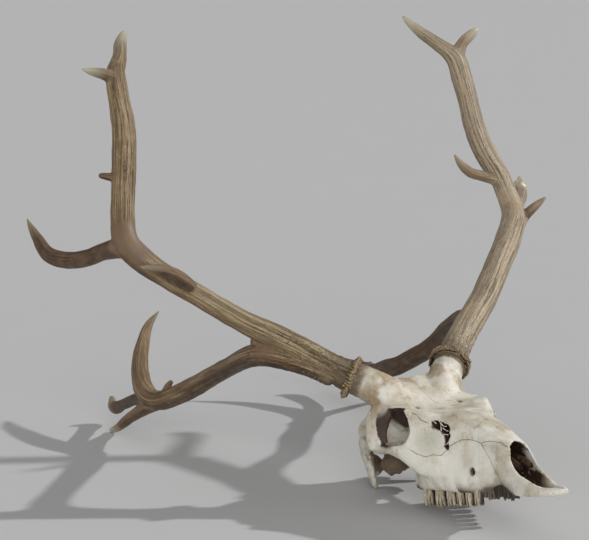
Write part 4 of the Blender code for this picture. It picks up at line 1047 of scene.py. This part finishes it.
class Growth(Nodes):
    """A Geometry Nodes tree that grows beads, with named inputs for their sizes and seed."""

    def __init__(self, name, sizes):
        self.tree = bpy.data.node_groups.new(name, "GeometryNodeTree")
        inputs = {"Geometry": "Geometry", **sizes, "Bead Size": "Float", "Seed": "Int",
                  "Material": "Material"}
        for label, kind in inputs.items():
            self.tree.interface.new_socket(label, in_out="INPUT", socket_type="NodeSocket" + kind)
        self.tree.interface.new_socket("Geometry", in_out="OUTPUT", socket_type="NodeSocketGeometry")
        self.inputs = self.node("NodeGroupInput").outputs

    def bead(self):
        """One small ball that remembers how high each of its points stands."""
        ball_node = self.node("GeometryNodeMeshIcoSphere", {}, {"Radius": 1.0, "Subdivisions": 3})
        height = self.node("ShaderNodeSeparateXYZ", {},
                           {"Vector": self.node("GeometryNodeInputPosition").outputs["Position"]})
        kept = self.node("GeometryNodeStoreNamedAttribute", {"data_type": "FLOAT", "domain": "POINT"},
                         {"Geometry": ball_node.outputs["Mesh"], "Name": "bead_top",
                          "Value": height.outputs["Z"]})
        return kept.outputs["Geometry"]

    def set_beads(self, points, rotation, smallest, largest):
        """Beads on points in steady random sizes, as real geometry with its material."""
        size = self.node("FunctionNodeRandomValue", {"data_type": "FLOAT_VECTOR"},
                         {"Min": smallest, "Max": largest, "Seed": self.inputs["Seed"]})
        scaled = self.node("ShaderNodeVectorMath", {"operation": "SCALE"},
                           {0: size.outputs[0], "Scale": self.inputs["Bead Size"]})
        beads = self.node("GeometryNodeInstanceOnPoints", {},
                          {"Points": points, "Instance": self.bead(), "Rotation": rotation,
                           "Scale": scaled.outputs["Vector"]})
        real = self.node("GeometryNodeRealizeInstances", {}, {"Geometry": beads.outputs["Instances"]})
        smooth = self.node("GeometryNodeSetShadeSmooth", {}, {"Geometry": real.outputs["Geometry"]})
        made = self.node("GeometryNodeSetMaterial", {}, {"Geometry": smooth.outputs["Geometry"],
                                                         "Material": self.inputs["Material"]})
        self.node("NodeGroupOutput", {}, {"Geometry": made.outputs["Geometry"]})

    def grow_on(self, thing, name, values):
        """The tree's result on an object, as a plain mesh in the object's place."""
        modifier = thing.modifiers.new("growth", "NODES")
        modifier.node_group = self.tree
        for label, value in values.items():
            modifier[self.tree.interface.items_tree[label].identifier] = value
        return made_plain(thing, name)


def ruff_of_beads():
    """Beads side by side round a ring, each longest outwards."""
    ruff = Growth("ruff_of_beads", {"Ring Radius": "Float", "Beads": "Int"})
    ring = ruff.node("GeometryNodeCurvePrimitiveCircle", {"mode": "RADIUS"},
                     {"Resolution": 96, "Radius": ruff.inputs["Ring Radius"]})
    places = ruff.node("GeometryNodeCurveToPoints", {"mode": "COUNT"},
                       {"Curve": ring.outputs["Curve"], "Count": ruff.inputs["Beads"]})
    lift = ruff.node("FunctionNodeRandomValue", {"data_type": "FLOAT_VECTOR"},
                     {"Min": (-0.0004, -0.0004, -0.0010), "Max": (0.0004, 0.0004, 0.0010),
                      "Seed": ruff.inputs["Seed"]})
    moved = ruff.node("GeometryNodeSetPosition", {}, {"Geometry": places.outputs["Points"],
                                                     "Offset": lift.outputs[0]})
    outward = ruff.node("FunctionNodeAlignRotationToVector", {"axis": "Z"},
                        {"Vector": ruff.node("GeometryNodeInputPosition").outputs["Position"]})
    ruff.set_beads(moved.outputs["Geometry"], outward.outputs["Rotation"],
                   (0.75, 0.6, 0.9), (1.35, 1.0, 1.6))
    return ruff


def scattered_pearls():
    """Small flat beads strewn over the part of a surface that carries them."""
    pearls = Growth("scattered_pearls", {"Spacing": "Float", "Density": "Float"})
    carries = pearls.node("GeometryNodeInputNamedAttribute", {"data_type": "FLOAT"}, {"Name": "beaded"})
    strewn = pearls.node("GeometryNodeDistributePointsOnFaces", {"distribute_method": "POISSON"},
                         {"Mesh": pearls.inputs["Geometry"], "Distance Min": pearls.inputs["Spacing"],
                          "Density Max": pearls.inputs["Density"],
                          "Density Factor": carries.outputs["Attribute"], "Seed": pearls.inputs["Seed"]})
    pearls.set_beads(strewn.outputs["Points"], strewn.outputs["Rotation"],
                     (0.7, 0.7, 0.35), (1.5, 1.5, 0.75))
    return pearls


def bead_finish(name, base, top):
    """Beads darker low down, as painted shade in the cracks between them, and worn pale on top."""
    beads = Finish(name)
    worn = Field(beads, beads.attribute("bead_top").outputs["Fac"])
    fine = beads.noise(beads.place(), 260.0, 4.0)
    cloud = beads.noise(beads.place(), 60.0, 3.0)
    colour = beads.layers(base, ((worn + (fine - 0.5) * 0.8).ramp(0.05, 0.85), top),
                          (cloud.ramp(0.5, 0.7) * 0.6, base))
    return beads.finish(colour, 0.72 - fine * 0.2, fine, 0.0006, Specular_IOR_Level=0.35)


ruff, pearls = ruff_of_beads(), scattered_pearls()
ruff_coat = bead_finish("burr_ruff", *RUFF_COLOURS)
pearl_coats = {"R": bead_finish("brown_pearls", *BROWN_PEARLS),
               "L": bead_finish("worn_pearls", *WORN_PEARLS)}
for side_name, side in SIDES.items():
    rings = []
    for k, (radius, rise, size, count) in enumerate(BURR_RINGS):
        seat = link("burr_ring", bpy.data.meshes.new("burr_ring"))
        ring = ruff.grow_on(seat, "burr_ring", {"Ring Radius": radius * CM, "Bead Size": size * CM,
                                                "Beads": count, "Seed": 3 + k + side,
                                                "Material": ruff_coat})
        ring.data.transform(burr_frame(side) @ Matrix.Translation((0, 0, rise * CM)))
        rings.append(ring)
    with bpy.context.temp_override(active_object=rings[0], selected_editable_objects=rings):
        bpy.ops.object.join()
    burr = rings[0]
    burr.name = burr.data.name = f"burr_{side_name}"
    carrier = link("carrier", antlers[side_name].data.copy())
    strewn = pearls.grow_on(carrier, f"pearls_{side_name}",
                            {"Spacing": 0.0036, "Density": 60000.0, "Bead Size": 0.0012,
                             "Seed": 11 + side, "Material": pearl_coats[side_name]})
    for piece in (burr, strewn):
        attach(piece, "root")


# Teeth: six cheek teeth to a side, of enamel folded into sharp crescents over brown dentine, each
# in its own socket. Food stains sit in the gaps and near the bone.

TOOTH_SIZES = {"premolar_2": (1.55, 1.25, 1), "premolar_3": (1.70, 1.50, 1),
               "premolar_4": (1.70, 1.65, 1), "molar_1": (2.05, 1.90, 2), "molar_2": (2.30, 2.05, 2),
               "molar_3": (2.25, 1.95, 2)}
TOOTH_CORNERS = 44
TOOTH_GAP = 0.04
CROWN_SHARE = 0.93
# Levels down a tooth: height, size, and how far its cusps hang below that height
TOOTH_LEVELS = [(3.6, 0.78, 0.0), (2.6, 0.84, 0.0), (1.6, 0.90, 0.0), (0.9, 0.94, 0.04),
                (0.5, 0.93, 0.20), (0.3, 0.88, 0.42), (0.25, 0.78, 0.50), (0.32, 0.60, 0.26),
                (0.60, 0.38, 0.0)]
ENAMEL_CREAM = (0.64, 0.57, 0.43)
ENAMEL_TAN = (0.42, 0.33, 0.21)
GUM_BROWN = (0.20, 0.125, 0.065)
VALLEY_BROWN = (0.035, 0.023, 0.015)
FOOD_STAIN = (0.085, 0.05, 0.028)
GAP_BROWN = (0.02, 0.012, 0.008)
DENTINE = (0.07, 0.042, 0.024)


def tooth_shape(middle, along, length, width, lobes, side, worn, painted_shade_and_grime):
    """A tooth with upright ribs on its cheek side and crescents on its biting face."""
    across = Vector((-along[1], along[0])) * -side
    rings, marks = [], []
    for up, size, hang in TOOTH_LEVELS:
        ring = []
        for k in range(TOOTH_CORNERS):
            turn = math.tau * k / TOOTH_CORNERS
            x = math.copysign(abs(math.cos(turn)) ** 0.9, math.cos(turn))
            y = math.copysign(abs(math.sin(turn)) ** 0.62, math.sin(turn))
            lobe = 1.0 - abs(2 * ((lobes * (x + 1) / 2) % 1.0) - 1.0)
            rib = 0.5 + 0.5 * math.cos(math.tau * (0.7 + 0.4 * lobes) * x + 40.0 * worn)
            ribs = 0.16 * (rib - 0.5) if y > 0 else 0.0
            hung = hang * (0.5 * lobe + 0.6 * rib) * (1.15 if y > 0 else 0.7)
            pinch = 1.0 - (0.16 * (1 - lobe) if y < 0 and lobes == 2 else 0.05 * (1 - lobe))
            place = (middle + along * (x * length / 2 * size)
                     + across * ((y * pinch * width / 2 + ribs * abs(y)) * size))
            ring.append(spot(place[0], place[1], up - hung - worn))
            # Dark at the tooth's ends, or the painted shade given for the whole row
            gap = max(abs(x) ** 4, painted_shade_and_grime)
            marks.append((min(1.0, max(0.0, up / 3.4)), gap, 1.0 if size < 0.7 else 0.0, rib))
        rings.append(ring)
    return rings, marks


def teeth_finish():
    """Stained enamel: cream ribs, brown towards the bone and in the gaps, painted shade on the far row, dark
    dentine.
    """
    enamel = Finish("stained_enamel")
    to_gum, gap, bite, rib = enamel.channels("tooth_marks")
    place = enamel.place()
    streak = enamel.noise(enamel.stretched(place, (1.0, 1.0, 0.25)), 420.0, 3.0)
    cloud = enamel.noise(place, 130.0, 3.0)
    valley = (rib + to_gum * 0.9 + (cloud - 0.5) * 1.2).ramp(0.62, 0.15)
    colour = enamel.layers(
        ENAMEL_CREAM, (cloud.ramp(0.35, 0.7), ENAMEL_TAN),
        ((to_gum + (cloud - 0.5) * 0.9).ramp(0.35, 1.0) * 0.5, GUM_BROWN),
        (valley * 0.92, VALLEY_BROWN), (streak.ramp(0.52, 0.66) * 0.75, FOOD_STAIN),
        (gap * 0.95, GAP_BROWN), (bite * 0.8, DENTINE))
    return enamel.finish(colour, 0.34 + cloud * 0.25, streak, 0.0004, Specular_IOR_Level=0.5)


enamel_coat = teeth_finish()
for side_name, side in SIDES.items():
    along = (ROW_FRONT - ROW_BACK).normalized()
    inward = Vector((along[1], -along[0]))
    gone = 0.0
    for k, (name, (length, width, lobes)) in enumerate(TOOTH_SIZES.items()):
        middle = ROW_FRONT - along * (gone + length / 2) + inward * (width / 2)
        gone += length + TOOTH_GAP
        worn = 0.09 * math.sin(2.3 * k + side)
        # Painted shade over the far, left row of teeth, darkest on the front three
        painted_shade_and_grime = {"R": 0.0, "L": 0.85 if k < 3 else 0.45}[side_name]
        rings, marks = tooth_shape(Vector((middle[0], middle[1] * side)),
                                   Vector((along[0], along[1] * side)),
                                   length * CROWN_SHARE, width, lobes, side, worn, painted_shade_and_grime)
        tooth = loft(rings, f"crown_{name}_{side_name}")
        mark(tooth.data, "tooth_marks", "FLOAT_COLOR", np.array(marks))
        rounded = tooth.modifiers.new("rounded", "SUBSURF")
        rounded.levels = rounded.render_levels = 1
        tooth = made_plain(tooth, f"crown_{name}_{side_name}")
        coated(tooth, enamel_coat)
        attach(tooth, "root")
        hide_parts(f"{name}_{side_name}")


# Inside the nose: paper-thin scrolls of bone on each side, which warmed the breath, and the low
# upright plate between them, dark red-brown with dried membrane.

SCROLL_TURNS = 1.6
SCROLL_WALL = 0.07
SCROLL_POINTS = 40
# Sections along a scroll: forward, up and size
SCROLL_SECTIONS = [(28.2, 6.6, 1.0), (30.5, 6.2, 1.25), (32.5, 5.8, 1.2), (34.0, 5.3, 1.0), (35.0, 4.9, 0.7)]
MEMBRANE_DARK = (0.022, 0.011, 0.007)
MEMBRANE_RED = (0.095, 0.045, 0.022)


def scroll(side):
    """A sheet rolled up on itself, running back into the nose."""
    spine = []
    for k in range(SCROLL_POINTS):
        turn = math.tau * SCROLL_TURNS * k / (SCROLL_POINTS - 1)
        reach = 0.16 + 0.46 * k / (SCROLL_POINTS - 1)
        spine.append((math.cos(turn) * reach, math.sin(turn) * reach, reach))
    outline = [(x, y) for x, y, _ in spine]
    outline += [(x * (1 - SCROLL_WALL / reach), y * (1 - SCROLL_WALL / reach))
                for x, y, reach in reversed(spine)]
    rings = []
    for forward, up, size in SCROLL_SECTIONS:
        rings.append([spot(forward, (0.95 + x * size) * side, up + y * size * 1.25) for x, y in outline])
    return loft(rings)


def membrane_finish():
    """Thin old bone darkened by dried membrane."""
    lining = Finish("dried_membrane")
    cloud = lining.noise(lining.place(), 150.0, 4.0)
    colour = lining.mix(cloud.ramp(0.4, 0.7), MEMBRANE_DARK, MEMBRANE_RED)
    return lining.finish(colour, 0.75 - cloud * 0.15, cloud, 0.0005, Specular_IOR_Level=0.3)


lining_coat = membrane_finish()
plate = bar([(27.5, 0, 4.4, 1.3, 0.10), (30.5, 0, 3.9, 1.1, 0.09), (34.0, 0, 3.2, 0.8, 0.08),
             (37.5, 0, 2.2, 0.35, 0.08)], (0, 0, 1))
for piece, name in ((scroll(-1), "nose_scroll_R"), (scroll(1), "nose_scroll_L"), (plate, "nose_plate")):
    piece.name = piece.data.name = name
    coated(piece, lining_coat)
    piece.data.set_sharp_from_angle(angle=math.radians(50))
    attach(piece, "root")


# Lace in front of each eye: a net of thin bone threads that half closes the gap there, chalk
# white against the dark behind it.

# Where each thread starts and ends on the left side
LACE_THREADS = [((23.1, 4.9, 12.1), (23.4, 4.5, 11.3)), ((23.4, 4.6, 11.4), (24.3, 4.4, 11.1)),
                ((23.4, 4.6, 11.4), (23.1, 4.5, 10.5)), ((23.5, 4.5, 10.9), (24.4, 4.3, 10.4)),
                ((22.2, 5.1, 12.0), (22.5, 4.8, 11.5)), ((23.6, 4.5, 10.0), (24.3, 4.3, 9.9)),
                ((23.7, 4.6, 8.6), (24.3, 4.4, 8.9))]
CHALK_WHITE = (0.72, 0.68, 0.60)
CHALK_SHADE = (0.34, 0.27, 0.20)
strands = []
for side in (-1, 1):
    for k, (start, end) in enumerate(LACE_THREADS):
        bend = 0.16 * math.sin(2.7 * k + side)
        halfway = [(a + b) / 2 + bend * part for a, b, part in zip(start, end, (1, 0.4, -1))]
        strands.append(bar([(*start, 0.11, 0.09), (*halfway, 0.06, 0.055), (*end, 0.12, 0.09)],
                           (0.3, 1, 0.2), side, 0.2, 10))
lace = grown("bone_lace", strands, 0.05, 1)
lace_finish = Finish("chalky_lace")
chalk = lace_finish.noise(lace_finish.place(), 240.0, 3.0)
chalky = lace_finish.mix(chalk.ramp(0.4, 0.65), CHALK_WHITE, CHALK_SHADE)
coated(lace, lace_finish.finish(chalky, 0.6, chalk, 0.0004))
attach(lace, "root")
